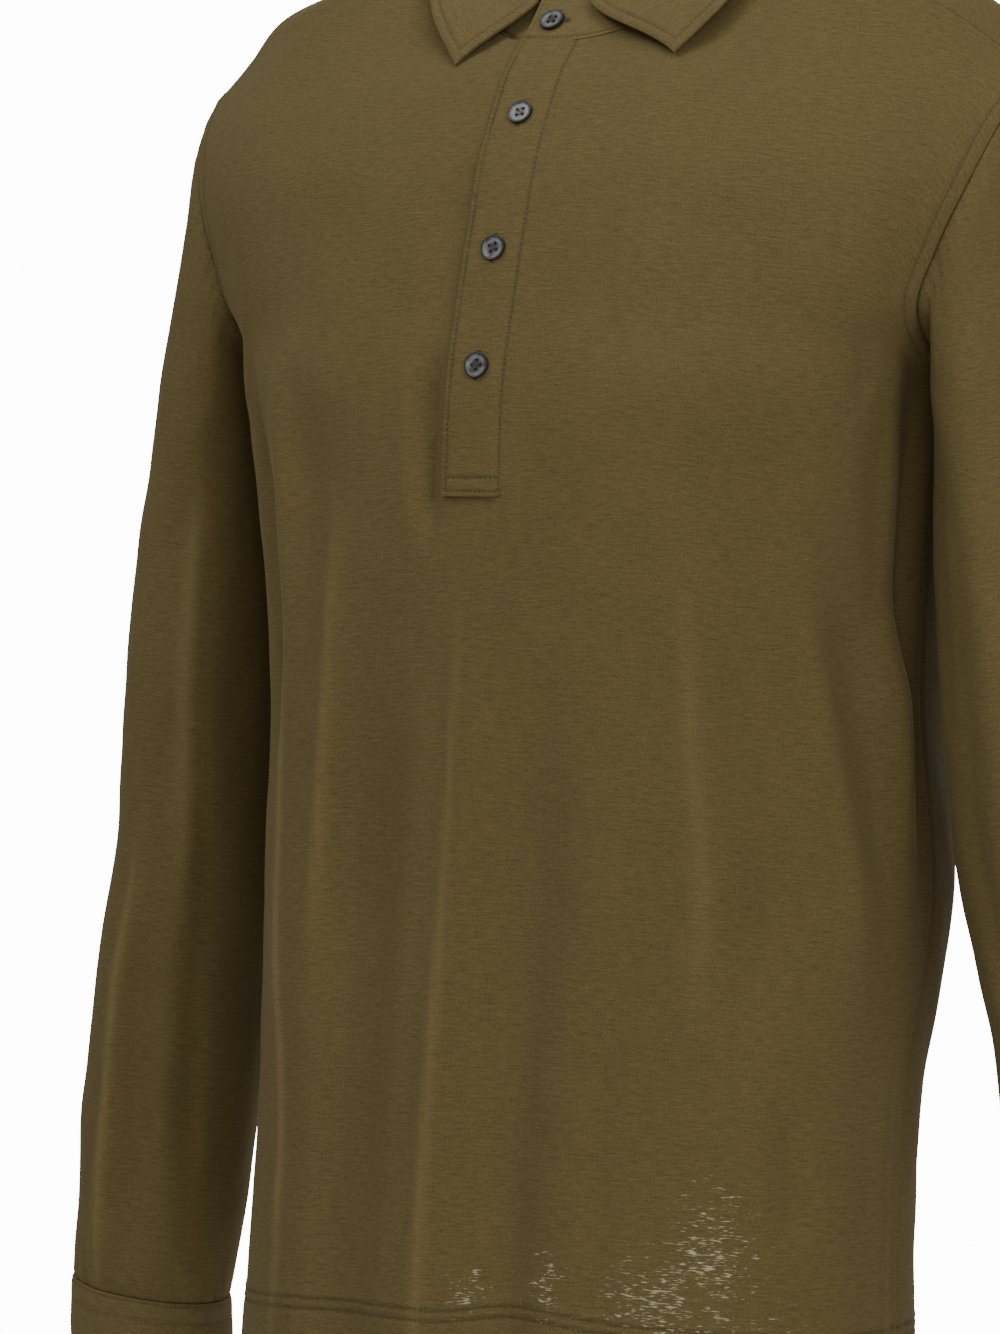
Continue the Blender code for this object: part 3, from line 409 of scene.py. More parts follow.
def loft(
    control: list[np.ndarray] | np.ndarray,
    places: np.ndarray,
    corner: int | None = None,
    corner_weight: np.ndarray | None = None,
) -> np.ndarray:
    """Rows of points on smooth curves through the control rows.

    Args:
        control: Control rows, each columns x 3.
        places: Where the rows lie, 0 at the first control row and 1 at the next.
        corner: A control row at which the curves may keep a kink.
        corner_weight: How much of that kink each column keeps.

    Returns:
        Points, places x columns x 3.
    """
    control = np.asarray(control, float)
    spans = np.linalg.norm(np.diff(control, axis=0), axis=2).mean(axis=1)
    slopes = np.diff(control, axis=0) / spans[:, None, None]
    before = np.concatenate([slopes[:1], slopes])
    after = np.concatenate([slopes, slopes[-1:]])
    share = np.concatenate([[0.5], spans[1:] / (spans[1:] + spans[:-1]), [0.5]])[:, None, None]
    middle = before * share + after * (1.0 - share)
    arriving, leaving = middle.copy(), middle.copy()
    if corner is not None:
        weight = np.asarray(corner_weight)[:, None]
        arriving[corner] = middle[corner] * (1 - weight) + before[corner] * weight
        leaving[corner] = middle[corner] * (1 - weight) + after[corner] * weight
    index = np.clip(np.floor(places).astype(int), 0, len(spans) - 1)
    t = (np.asarray(places) - index)[:, None, None]
    reach = spans[index][:, None, None]
    return (
        control[index] * (2 * t**3 - 3 * t**2 + 1)
        + leaving[index] * reach * (t**3 - 2 * t**2 + t)
        + control[index + 1] * (3 * t**2 - 2 * t**3)
        + arriving[index + 1] * reach * (t**3 - t**2)
    )


def even_places(control: list[np.ndarray], step: float, fine: dict[int, tuple[float, float]]) -> np.ndarray:
    """Places for rows about a step apart, and closer in part of some intervals.

    Args:
        control: The control rows.
        step: Metres between rows.
        fine: For an interval, the share of it next to its start that is fine, and the step there.

    Returns:
        Places from 0 to the number of intervals.
    """
    spans = np.linalg.norm(np.diff(np.asarray(control), axis=0), axis=2).mean(axis=1)
    parts = []
    for number, span in enumerate(spans):
        share, close = fine.get(number, (0.0, step))
        if share > 0:
            count = max(2, math.ceil(span * share / close))
            parts.append(number + np.linspace(0, share, count, endpoint=False))
        if share < 1:
            count = max(2, math.ceil(span * (1 - share) / step))
            parts.append(number + np.linspace(share, 1, count, endpoint=False))
    return np.concatenate(parts + [[float(len(spans))]])


def along(points: tuple[tuple[float, ...], ...], shares: np.ndarray) -> np.ndarray:
    """Places on a smooth curve.

    Args:
        points: What the curve passes through.
        shares: Shares of its length, from 0 to 1.

    Returns:
        A place for each share.
    """
    control = np.asarray(points, float)[:, None, :]
    spans = len(points) - 1
    fine = loft(control, np.linspace(0, spans, CURVE_SAMPLES * spans + 1))[:, 0]
    travelled = np.concatenate([[0.0], np.cumsum(np.linalg.norm(np.diff(fine, axis=0), axis=1))])
    wanted = np.asarray(shares) * travelled[-1]
    return np.stack([np.interp(wanted, travelled, fine[:, axis]) for axis in range(3)], axis=-1)


def grid_normals(grid: np.ndarray, side: float = 1.0, closed: bool = False) -> np.ndarray:
    """Unit normals of a grid of points, to the side where columns cross rows.

    Args:
        grid: Points, rows x columns x 3.
        side: 1 for that side, -1 for the other.
        closed: Whether the last column joins the first.

    Returns:
        A normal for each point.
    """
    if closed:
        across = np.roll(grid, -1, axis=1) - np.roll(grid, 1, axis=1)
    else:
        across = np.gradient(grid, axis=1)
    return unit(np.cross(across, np.gradient(grid, axis=0))) * side


def relief(folds: tuple[Fold, ...], u: np.ndarray, z: np.ndarray, breadth: float) -> np.ndarray:
    """Height of the folds.

    Args:
        folds: The ridges and troughs.
        u: Column values from -1 to 1.
        z: Heights of the places.
        breadth: Metres in one u.

    Returns:
        Height out of the cloth at each place.
    """
    total = np.zeros(np.broadcast(u, z).shape)
    for fold in folds:
        run = (z - fold.z_low) / (fold.z_top - fold.z_low)
        middle = (fold.z_mid - fold.z_low) / (fold.z_top - fold.z_low)
        line = (
            fold.u_low * (run - middle) * (run - 1) / middle
            + fold.u_mid * run * (run - 1) / (middle * (middle - 1))
            + fold.u_top * run * (run - middle) / (1 - middle)
        )
        fade = smooth_step(run / FOLD_FADE) * smooth_step((1 - run) / FOLD_FADE)
        fade = fade * smooth_step((1 - np.abs(u)) / FOLD_EDGE_FADE)
        total += fold.height * fade * bell((u - line) * breadth, fold.width)
    return total


def drift(points: np.ndarray, size: float, seed: int) -> np.ndarray:
    """A slow uneven wave from about -1 to 1, as in cloth that isn't quite smooth.

    Args:
        points: Places, with a last axis of 3.
        size: Metres from crest to crest.
        seed: Chooses the waves.

    Returns:
        One value for each place.
    """
    chance = np.random.default_rng(seed)
    total = np.zeros(points.shape[:-1])
    for _ in range(WAVE_COUNT):
        way = unit(chance.normal(size=3) * [1.0, 1.0, WAVE_UPRIGHT])
        length = size * chance.uniform(*WAVE_SPREAD)
        start = chance.uniform(0, WAVE_TURN)
        total += np.sin(points @ way * 2 * math.pi / length + start)
    return total / WAVE_SCALE


@dataclass(frozen=True)
class Wave:
    """A slow unevenness of cloth: metres from crest to crest, its height, and what chooses it."""

    size: float
    height: float
    seed: int

    def over(self, points: np.ndarray) -> np.ndarray:
        """Height at each place."""
        return drift(points, self.size, self.seed) * self.height


@dataclass(frozen=True)
class Beside:
    """What happens beside an edge: strongest on a line, and less to both sides of it.

    Args:
        amount: What it is on the line, in metres or as a share.
        width: How wide it is.
        off: How far the line lies from the edge.
    """

    amount: float
    width: float
    off: float = 0.0

    def share(self, distance: np.ndarray) -> np.ndarray:
        """Strength from 0 to 1 at a distance from the edge."""
        return bell(distance - self.off, self.width)

    def at(self, distance: np.ndarray) -> np.ndarray:
        """Amount at a distance from the edge."""
        return self.amount * self.share(distance)


@dataclass(frozen=True)
class Layer:
    """Height that a layer below adds, how far it reaches, and over what run it fades."""

    height: float
    reach: float
    fade: float

    def at(self, distance: np.ndarray) -> np.ndarray:
        """Height at a distance from the layer's start."""
        return self.height * (1 - smooth_step((distance - self.reach) / self.fade))


def gap_to(points: np.ndarray, line: np.ndarray) -> tuple[np.ndarray, np.ndarray]:
    """Distance from points to a line, and how far along the line each one lies.

    Args:
        points: Places, with a last axis of 3.
        line: Points of the line.

    Returns:
        The distances and the runs along the line, in metres.
    """
    step = np.linalg.norm(np.diff(line, axis=0), axis=1)
    run = np.concatenate([[0.0], np.cumsum(step)])
    runs = np.linspace(0, run[-1], max(2, int(run[-1] / LINE_STEP)))
    dense = np.stack([np.interp(runs, run, line[:, axis]) for axis in range(3)], axis=-1)
    tree = KDTree(len(dense))
    for number, place in enumerate(dense):
        tree.insert(place, number)
    tree.balance()
    flat = points.reshape(-1, 3)
    found = [tree.find(place) for place in flat]
    shape = points.shape[:-1]
    gaps = np.array([item[2] for item in found]).reshape(shape)
    return gaps, runs[[item[1] for item in found]].reshape(shape)


@dataclass
class Cloth:
    """One cut piece of cloth: a grid of points on its outer face, with what lies on it.

    Args:
        name: The piece's name.
        grid: Outer points, rows x columns x 3.
        normals: Unit normals at the points.
        wall: Thickness of the cloth, the same all over or one for each point.
        closed: Whether the last column joins the first.
        keep: Which cells are cloth; all of them if it is left out.
        marks: Values at the points that the finish reads.
        places: Where the rows lie among the control rows.
        underarm: The row at the underarm.
        level_end: Whether the cut lies level at its last row, as a sleeve's does at its cuff.
    """

    name: str
    grid: np.ndarray
    normals: np.ndarray
    wall: float | np.ndarray = WALL
    closed: bool = False
    keep: np.ndarray | None = None
    marks: dict[str, np.ndarray] = field(default_factory=dict)
    places: np.ndarray | None = None
    underarm: int = 0
    level_end: bool = False

    def raise_by(self, height: np.ndarray) -> None:
        """Move the outer points out along their normals by a height."""
        self.grid = self.grid + self.normals * height[..., None]

    def mark(self, name: str, values: np.ndarray) -> None:
        """Add values to a mark, keeping the larger where both are set."""
        self.marks[name] = np.maximum(self.marks[name], values) if name in self.marks else values

    def from_edge(self, edge: int) -> np.ndarray:
        """Distance of each point from an end of its row, 0 for the first and -1 for the last."""
        return np.linalg.norm(self.grid - self.grid[:, [edge]], axis=2)

    def line_at(
        self,
        values: np.ndarray,
        level: float,
        part: tuple[slice | np.ndarray, ...] = np.s_[:, :],
        upward: bool = False,
    ) -> tuple[np.ndarray, np.ndarray]:
        """Find the line where a value first reaches a level, looking along each row.

        Args:
            values: The value at each point.
            level: The value on the line.
            part: The rows and columns that are looked at, in their order.
            upward: Whether to look up each column instead.

        Returns:
            Points and normals of the line.
        """
        looked_at = [item[part] for item in (self.grid, self.normals, values)]
        if upward:
            looked_at = [item.swapaxes(0, 1) for item in looked_at]
        places, facing = [], []
        for points, outs, row in zip(*looked_at):
            over = np.nonzero(row >= level)[0]
            if len(over) == 0 or over[0] == 0:
                continue
            high = over[0]
            share = (level - row[high - 1]) / (row[high] - row[high - 1])
            places.append(points[high - 1] * (1 - share) + points[high] * share)
            facing.append(outs[high - 1] * (1 - share) + outs[high] * share)
        return np.array(places), unit(np.array(facing))

    def lengths(self) -> tuple[np.ndarray, np.ndarray]:
        """Measure along the cloth.

        Returns:
            Metres across from the middle column, and metres up from the first row, at each point.
        """
        across = np.linalg.norm(np.diff(self.grid, axis=1), axis=2)
        across = np.concatenate([np.zeros((len(self.grid), 1)), np.cumsum(across, axis=1)], axis=1)
        across = across - across[:, across.shape[1] // 2][:, None]
        up = np.linalg.norm(np.diff(self.grid, axis=0), axis=2)
        up = np.concatenate([np.zeros((1, self.grid.shape[1])), np.cumsum(up, axis=0)])
        return across, up

    def faces(self) -> np.ndarray:
        """List the cells of the outer face.

        Returns:
            The corners of each, in order round it.
        """
        rows, count = self.grid.shape[:2]
        cells = count if self.closed else count - 1
        row, column = np.meshgrid(np.arange(rows - 1), np.arange(cells), indexing="ij")
        if self.keep is not None:
            row, column = row[self.keep], column[self.keep]
        row, column = row.ravel(), column.ravel()
        beside = (column + 1) % count
        low, high = row * count, (row + 1) * count
        ring = np.stack([low + column, low + beside, high + beside, high + column], axis=1)
        flat = self.grid.reshape(-1, 3)
        made = np.cross(flat[ring[:, 1]] - flat[ring[:, 0]], flat[ring[:, 3]] - flat[ring[:, 0]])
        facing = np.sum(made * self.normals.reshape(-1, 3)[ring[:, 0]])
        return ring if facing > 0 else ring[:, ::-1]

    def make(self, finish: bpy.types.Material, slot: Slot, nodes: tuple[str, ...]) -> bpy.types.Object:
        """Make the piece as a closed wall.

        Args:
            finish: Its material.
            slot: The record's slot that it stands for; not used.
            nodes: The solids that it replaces.

        Returns:
            The new object.
        """
        outer = self.faces()
        total = self.grid.shape[0] * self.grid.shape[1]
        edges = np.stack([outer, np.roll(outer, -1, axis=1)], axis=2).reshape(-1, 2)
        keys = np.sort(edges, axis=1) @ np.array([total, 1])
        _, first, count = np.unique(keys, return_index=True, return_counts=True)
        rim = edges[first[count == 1]]
        rim_faces = np.stack([rim[:, 1], rim[:, 0], rim[:, 0] + total, rim[:, 1] + total], axis=1)
        faces = np.concatenate([outer, outer[:, ::-1] + total, rim_faces])
        depth = np.broadcast_to(self.wall, self.grid.shape[:2])[..., None]
        points = np.concatenate([self.grid, self.grid - self.normals * depth]).reshape(-1, 3)
        used, place = np.unique(faces, return_inverse=True)
        faces = place.reshape(faces.shape)
        mesh = bpy.data.meshes.new(self.name)
        mesh.from_pydata(points[used].tolist(), [], faces.tolist())
        self.lay_out(mesh, used, faces, total)
        mesh.shade_smooth()
        mesh.set_sharp_from_angle(angle=SHARP_ANGLE)
        mesh.materials.append(finish)
        return placed(linked(self.name, mesh), nodes)

    def lay_out(self, mesh: bpy.types.Mesh, used: np.ndarray, faces: np.ndarray, total: int) -> None:
        """Give the mesh the flat lay-out of its cloth and its marks.

        Args:
            mesh: The mesh.
            used: The grid point of each of its vertices.
            faces: Corners of its faces.
            total: Number of points in the grid.
        """
        across, up = self.lengths()
        if self.level_end:
            up = up[-1] - up
        flat = np.stack([across.ravel(), up.ravel()], axis=1)[used % total]
        corners = flat[faces]
        if self.closed:
            round_it = np.linalg.norm(np.roll(self.grid, -1, axis=1) - self.grid, axis=2).sum(axis=1).mean()
            spread = corners[:, :, 0].max(axis=1) - corners[:, :, 0].min(axis=1) > round_it / 2
            corners[:, :, 0] += np.where(spread[:, None] & (corners[:, :, 0] < 0), round_it, 0)
        layer = mesh.uv_layers.new(name="cut")
        layer.data.foreach_set("uv", corners.astype(np.float32).ravel())
        for name, values in self.marks.items():
            made = mesh.attributes.new(name, "FLOAT", "POINT")
            made.data.foreach_set("value", values.ravel()[used % total].astype(np.float32))


def linked(name: str, data: bpy.types.ID) -> bpy.types.Object:
    """Put a mesh, a lamp or a camera in the scene.

    Args:
        name: The new object's name.
        data: What it shows.

    Returns:
        The new object.
    """
    item = bpy.data.objects.new(name, data)
    bpy.context.scene.collection.objects.link(item)
    return item


def placed(item: bpy.types.Object, nodes: tuple[str, ...]) -> bpy.types.Object:
    """Let a finished object ride on the shirt, and log it.

    Args:
        item: The object.
        nodes: The solids that it replaces.

    Returns:
        The same object.
    """
    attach(item, "root")
    if nodes:
        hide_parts(*nodes)
    LOG.info("%s: %d faces", item.name, len(item.data.polygons))
    return item


class Graph:
    """The nodes of one material or node group, set out from left to right."""

    def __init__(self, tree: bpy.types.NodeTree) -> None:
        """Work on a tree."""
        self.tree = tree
        self.made = 0

    def node(self, kind: str, **settings: object) -> bpy.types.Node:
        """Add a node.

        Args:
            kind: Its type.
            settings: Values of its properties.

        Returns:
            The node.
        """
        node = self.tree.nodes.new(kind)
        node.location = (180 * (self.made % 9) - 1500, 260 * (self.made // 9) - 400)
        self.made += 1
        for name, value in settings.items():
            setattr(node, name, value)
        return node

    def feed(self, socket: bpy.types.NodeSocket, value: object) -> None:
        """Link a socket, or set its value.

        Args:
            socket: The input.
            value: Another node's output, a number or a colour.
        """
        if isinstance(value, bpy.types.NodeSocket):
            self.tree.links.new(value, socket)
        else:
            socket.default_value = value

    def fed(self, node: bpy.types.Node, values: dict[int | str, object]) -> bpy.types.Node:
        """Feed several of a node's inputs.

        Args:
            node: The node.
            values: What goes into each input, by its number or name.

        Returns:
            The same node.
        """
        for place, value in values.items():
            self.feed(node.inputs[place], value)
        return node

    def math(self, operation: str, first: object, second: object = 0.0) -> bpy.types.NodeSocket:
        """The result of a sum of two values."""
        return self.fed(self.node("ShaderNodeMath", operation=operation), {0: first, 1: second}).outputs[0]

    def times(self, first: object, second: object) -> bpy.types.NodeSocket:
        """The product of two values."""
        return self.math("MULTIPLY", first, second)

    def plus(self, first: object, second: object) -> bpy.types.NodeSocket:
        """The sum of two values."""
        return self.math("ADD", first, second)

    def attribute(self, name: str) -> bpy.types.NodeSocket:
        """A mark of the cloth."""
        return self.node("ShaderNodeAttribute", attribute_name=name).outputs["Fac"]

    def around(self) -> bpy.types.NodeSocket:
        """Coordinates of the object."""
        return self.node("ShaderNodeTexCoord").outputs["Object"]

    def colour(self, channels: Iterable[object]) -> bpy.types.NodeSocket:
        """A colour from its three channels."""
        return self.fed(self.node("ShaderNodeCombineColor"), dict(enumerate(channels))).outputs[0]

    def mixed(self, share: object, first: object, second: object) -> bpy.types.NodeSocket:
        """A blend of two colours, the first where the share is 0."""
        node = self.node("ShaderNodeMix", data_type="RGBA")
        return self.fed(node, {0: share, 6: first, 7: second}).outputs[2]

    def noise(self, place: object, spread: tuple[float, float, float], detail: float) -> bpy.types.NodeSocket:
        """Uneven values from 0 to 1.

        Args:
            place: The coordinates.
            spread: Scale along each of them.
            detail: Octaves.

        Returns:
            The value.
        """
        mapping = self.fed(self.node("ShaderNodeMapping"), {"Vector": place, "Scale": spread})
        values = {"Vector": mapping.outputs[0], "Scale": 1.0, "Detail": detail}
        return self.fed(self.node("ShaderNodeTexNoise"), values).outputs[0]

    def between(
        self, value: object, low: float, high: float, to_low: float, to_high: float
    ) -> bpy.types.NodeSocket:
        """A value carried from one range to another, held at its ends."""
        values = dict(enumerate((value, low, high, to_low, to_high)))
        return self.fed(self.node("ShaderNodeMapRange"), values).outputs[0]


def start_material(
    name: str, tone: tuple[float, float, float]
) -> tuple[bpy.types.Material, Graph, bpy.types.Node]:
    """Start a material.

    Args:
        name: Its name.
        tone: Its plain colour.

    Returns:
        The material, its graph and its shader.
    """
    made = bpy.data.materials.new(name)
    made.use_nodes = True
    made.diffuse_color = (*tone, 1.0)
    return made, Graph(made.node_tree), made.node_tree.nodes["Principled BSDF"]


@dataclass(frozen=True)
class Jersey:
    """Slub jersey of heathered yarn, dyed when it was made up.

    Args:
        name: The finish's name.
        tone: Its mean colour.
        grain: How strongly its yarns differ.
        nap: Depth of its courses for the bump, in metres.
        bare: Colour painted into its worn places, standing for light that shows through the knit.
        bloom: Colour of its sheen.
    """

    name: str
    tone: tuple[float, float, float]
    grain: float = 1.0
    nap: float = 0.00022
    bare: tuple[float, float, float] = (0.50, 0.45, 0.32)
    bloom: tuple[float, float, float] = (0.55, 0.46, 0.28)

    GROUP = "slub_jersey"

    @classmethod
    def knit(cls) -> bpy.types.NodeTree:
        """Make the shared group, once.

        Returns:
            The group, at each place of the cut: how light the yarn is, with painted shade along the stitch
                grooves and painted highlight along fold ridges; how high it is; and how worn it is, as flecks
                that become painted light showing through the knit.
        """
        if cls.GROUP in bpy.data.node_groups:
            return bpy.data.node_groups[cls.GROUP]
        tree = bpy.data.node_groups.new(cls.GROUP, "ShaderNodeTree")
        tree.interface.new_socket("Grain", in_out="INPUT", socket_type="NodeSocketFloat")
        for name in ("Shade", "Height", "WornFlecksForPaintedLight"):
            tree.interface.new_socket(name, in_out="OUTPUT", socket_type="NodeSocketFloat")
        graph = Graph(tree)
        source = graph.node("NodeGroupInput")
        cut = graph.node("ShaderNodeUVMap", uv_map="cut").outputs[0]
        heather = graph.noise(cut, (950.0, 1500.0, 1.0), 2.0)
        slub = graph.noise(cut, (150.0, 1000.0, 1.0), 1.5)
        long_slub = graph.noise(cut, (38.0, 620.0, 1.0), 1.0)
        mottle = graph.noise(graph.around(), (19.0, 19.0, 13.0), 3.0)
        broken = graph.noise(cut, (230.0, 1400.0, 1.0), 1.5)
        rows = graph.noise(cut, (85.0, 300.0, 1.0), 1.0)
        groove = graph.attribute("groove")

        shade = 0.0
        for uneven, amount in ((heather, 1.10), (slub, 0.64), (long_slub, 0.20)):
            shade = graph.plus(shade, graph.times(graph.math("SUBTRACT", uneven, 0.5), amount))
        shade = graph.times(shade, source.outputs["Grain"])
        shade = graph.plus(shade, graph.times(graph.math("SUBTRACT", mottle, 0.5), 0.16))
        # Painted shade: the yarn is darkened along the stitch grooves, where shade falls in the recess.
        shade = graph.math("SUBTRACT", graph.plus(shade, 1.0), graph.times(groove, 0.13))
        # Painted highlight, partly abrasion: the crest mark lightens the yarn along fold ridges.
        shade = graph.plus(shade, graph.times(graph.attribute("crest"), 0.34))

        height = graph.times(graph.plus(heather, graph.times(slub, 0.9)), 0.55)
        for mark, spread in (("pucker_u", (230.0, 24.0, 1.0)), ("pucker_v", (24.0, 230.0, 1.0))):
            pucker = graph.times(graph.noise(cut, spread, 1.0), graph.attribute(mark))
            height = graph.plus(height, graph.times(pucker, 4.6))
        height = graph.math("SUBTRACT", height, graph.times(groove, 1.6))

        # Flecks of the worn places, which the material paints pale as light showing through the knit.
        worn = graph.plus(graph.times(broken, 0.66), graph.times(rows, 0.34))
        graph.fed(graph.node("NodeGroupOutput"), {"Shade": shade, "Height": height, "WornFlecksForPaintedLight": worn})
        return tree

    def make(self) -> bpy.types.Material:
        """Make the material.

        Returns:
            The material.
        """
        made, graph, shader = start_material(self.name, self.tone)
        knit = graph.node("ShaderNodeGroup", node_tree=self.knit())
        knit.inputs["Grain"].default_value = self.grain
        shade = knit.outputs["Shade"]
        # Painted light: in the worn places near the hem, pale flecks stand for light showing through the
        # knit.
        thin_with_painted_light = graph.attribute("thin_with_painted_light")
        open_knit_painted_light = graph.plus(knit.outputs["WornFlecksForPaintedLight"], graph.times(thin_with_painted_light, 0.13))
        light = graph.times(
            graph.between(open_knit_painted_light, 0.655, 0.735, 0.0, 0.62), graph.between(thin_with_painted_light, 0.05, 0.35, 0.0, 1.0)
        )
        tint = graph.colour(graph.times(shade, value) for value in self.tone)
        bump = graph.node("ShaderNodeBump")
        bump.inputs["Strength"].default_value = 0.85
        bump.inputs["Distance"].default_value = self.nap
        graph.feed(bump.inputs["Height"], knit.outputs["Height"])
        graph.fed(shader, {
            "Base Color": graph.mixed(light, tint, (*self.bare, 1.0)),
            "Roughness": graph.between(shade, 0.6, 1.4, 0.95, 0.78),
            "Normal": bump.outputs[0],
            "Sheen Weight": 0.10,
            "Sheen Roughness": 0.5,
            "Sheen Tint": (*self.bloom, 1.0),
            "Specular IOR Level": 0.10,
        })
        return made


@dataclass(frozen=True)
class Thread:
    """Sewing thread, a little smoother than the cloth."""

    name: str
    tone: tuple[float, float, float]

    def make(self) -> bpy.types.Material:
        """Make the material.

        Returns:
            The material.
        """
        made, graph, shader = start_material(self.name, self.tone)
        ply = graph.noise(graph.around(), (2600.0, 2600.0, 2600.0), 1.0)
        tint = graph.colour(graph.between(ply, 0.3, 0.7, value * 0.8, value * 1.2) for value in self.tone)
        rough = graph.between(ply, 0.3, 0.7, 0.5, 0.7)
        graph.fed(shader, {"Base Color": tint, "Roughness": rough, "Sheen Weight": 0.1})
        return made


@dataclass(frozen=True)
class ShellFinish:
    """Polished smoky shell, cloudy, and paler in its ring: partly the shell's own colour, partly painted
    highlight.
    """

    name: str
    dark: tuple[float, float, float]
    pale: tuple[float, float, float]

    def make(self) -> bpy.types.Material:
        """Make the material.

        Returns:
            The material.
        """
        made, graph, shader = start_material(self.name, self.dark)
        cloud = graph.noise(graph.around(), (260.0, 260.0, 260.0), 3.0)
        # Partly painted highlight: the paler, cloudy ring stands in part for streaky highlights on the shell.
        share = graph.times(graph.attribute("ring"), graph.between(cloud, 0.35, 0.62, 0.30, 1.0))
        graph.fed(shader, {
            "Base Color": graph.mixed(share, (*self.dark, 1.0), (*self.pale, 1.0)),
            "Roughness": graph.between(cloud, 0.3, 0.7, 0.34, 0.50),
            "Specular IOR Level": 0.32,
            "Coat Weight": 0.10,
            "Coat Roughness": 0.12,
        })
        return made


@dataclass(frozen=True)
class FloorPaint:
    """Pale matt paint."""

    name: str
    tone: tuple[float, float, float]

    def make(self) -> bpy.types.Material:
        """Make the material.

        Returns:
            The material.
        """
        made, graph, shader = start_material(self.name, self.tone)
        cloud = graph.noise(graph.around(), (3.0, 3.0, 3.0), 2.0)
        tint = graph.colour(graph.between(cloud, 0.3, 0.7, value * 0.985, value) for value in self.tone)
        graph.fed(shader, {"Base Color": tint, "Roughness": 0.9})
        return made


def only(item: bpy.types.Object | None) -> None:
    """Deselect everything, then select one object and make it active.

    Args:
        item: The object, if any.
    """
    bpy.ops.object.select_all(action="DESELECT")
    if item is not None:
        item.select_set(True)
        bpy.context.view_layer.objects.active = item


def pick_faces(item: bpy.types.Object, wanted: Callable[[Vector, Vector], bool]) -> None:
    """In edit mode, select only the faces that a test on their centre and normal picks.

    Args:
        item: The object.
        wanted: Called with the face's centre and its normal.
    """
    mesh = bmesh.from_edit_mesh(item.data)
    for face in mesh.faces:
        face.select_set(False)
    for face in mesh.faces:
        if wanted(face.calc_center_median(), face.normal):
            face.select_set(True)
    mesh.select_flush_mode()
    bmesh.update_edit_mesh(item.data)


@dataclass
class Stitching:
    """Rows of thread stitches that lie on the cloth.

    Args:
        length: Length of one stitch.
        width: Its width.
        height: Its height.
        sunk: How much of its height its middle stands over the cloth.
        finish: The thread's material.
    """

    length: float = 0.0014
    width: float = 0.00050
    height: float = 0.00028
    sunk: float = 0.18
    finish: bpy.types.Material | None = None

    def single(self) -> tuple[np.ndarray, np.ndarray]:
        """Model one stitch at the origin, along X.

        Returns:
            Its points, and the corners of its faces, with the first again after a third.
        """
        only(None)
        bpy.ops.mesh.primitive_uv_sphere_add(segments=6, ring_count=4, radius=0.5)
        item = bpy.context.object
        bpy.ops.object.mode_set(mode="EDIT")
        bpy.ops.mesh.select_all(action="SELECT")
        bpy.ops.transform.rotate(value=math.pi / 2, orient_axis="Y", center_override=(0, 0, 0))
        bpy.ops.object.mode_set(mode="OBJECT")
        mesh = item.data
        points = np.array([vertex.co for vertex in mesh.vertices])
        faces = np.array([(*face.vertices, face.vertices[0])[:4] for face in mesh.polygons])
        bpy.data.objects.remove(item, do_unlink=True)
        bpy.data.meshes.remove(mesh)
        return points, faces

    def places(
        self, line: np.ndarray, facing: np.ndarray, pitch: float
    ) -> tuple[np.ndarray, np.ndarray, np.ndarray]:
        """Even places on a line.

        Args:
            line: Points of the line.
            facing: The cloth's normals there.
            pitch: Metres from stitch to stitch.

        Returns:
            Places, directions along the line and normals.
        """
        run = np.concatenate([[0.0], np.cumsum(np.linalg.norm(np.diff(line, axis=0), axis=1))])
        count = max(1, round(run[-1] / pitch))
        middles = (np.arange(count) + 0.5) * run[-1] / count

        def at(runs: np.ndarray, values: np.ndarray) -> np.ndarray:
            """Values at runs along the line."""
            return np.stack([np.interp(runs, run, values[:, axis]) for axis in range(3)], axis=-1)

        reach = run[-1] / count * 0.35
        ahead = unit(at(middles + reach, line) - at(middles - reach, line))
        return at(middles, line), ahead, unit(at(middles, facing))

    def sew(
        self,
        name: str,
        rows: list[tuple[np.ndarray, np.ndarray]],
        pitch: float = STITCH_PITCH,
        across: bool = False,
    ) -> bpy.types.Object:
        """Lay stitches along rows.

        Args:
            name: The new object's name.
            rows: Points and normals of each row.
            pitch: Metres from stitch to stitch.
            across: Lay each stitch across its row.

        Returns:
            The new object.
        """
        shape, ring = self.single()
        parts, corners, total = [], [], 0
        for line, facing in rows:
            place, ahead, out = self.places(line, facing, pitch)
            side = unit(np.cross(out, ahead))
            if across:
                ahead, side = side, ahead
            scaled = shape * [self.length, self.width, self.height]
            points = (
                place[:, None]
                + out[:, None] * (self.height * self.sunk)
                + scaled[None, :, 0:1] * ahead[:, None]
                + scaled[None, :, 1:2] * side[:, None]
                + scaled[None, :, 2:3] * out[:, None]
            )
            parts.append(points.reshape(-1, 3))
            steps = total + np.arange(len(place))[:, None, None] * len(shape)
            corners.append((ring[None] + steps).reshape(-1, 4))
            total += len(place) * len(shape)
        faces = [tuple(dict.fromkeys(face)) for face in np.concatenate(corners).tolist()]
        mesh = bpy.data.meshes.new(name)
        mesh.from_pydata(np.concatenate(parts).tolist(), [], faces)
        mesh.shade_smooth()
        mesh.materials.append(self.finish)
        return placed(linked(name, mesh), ())


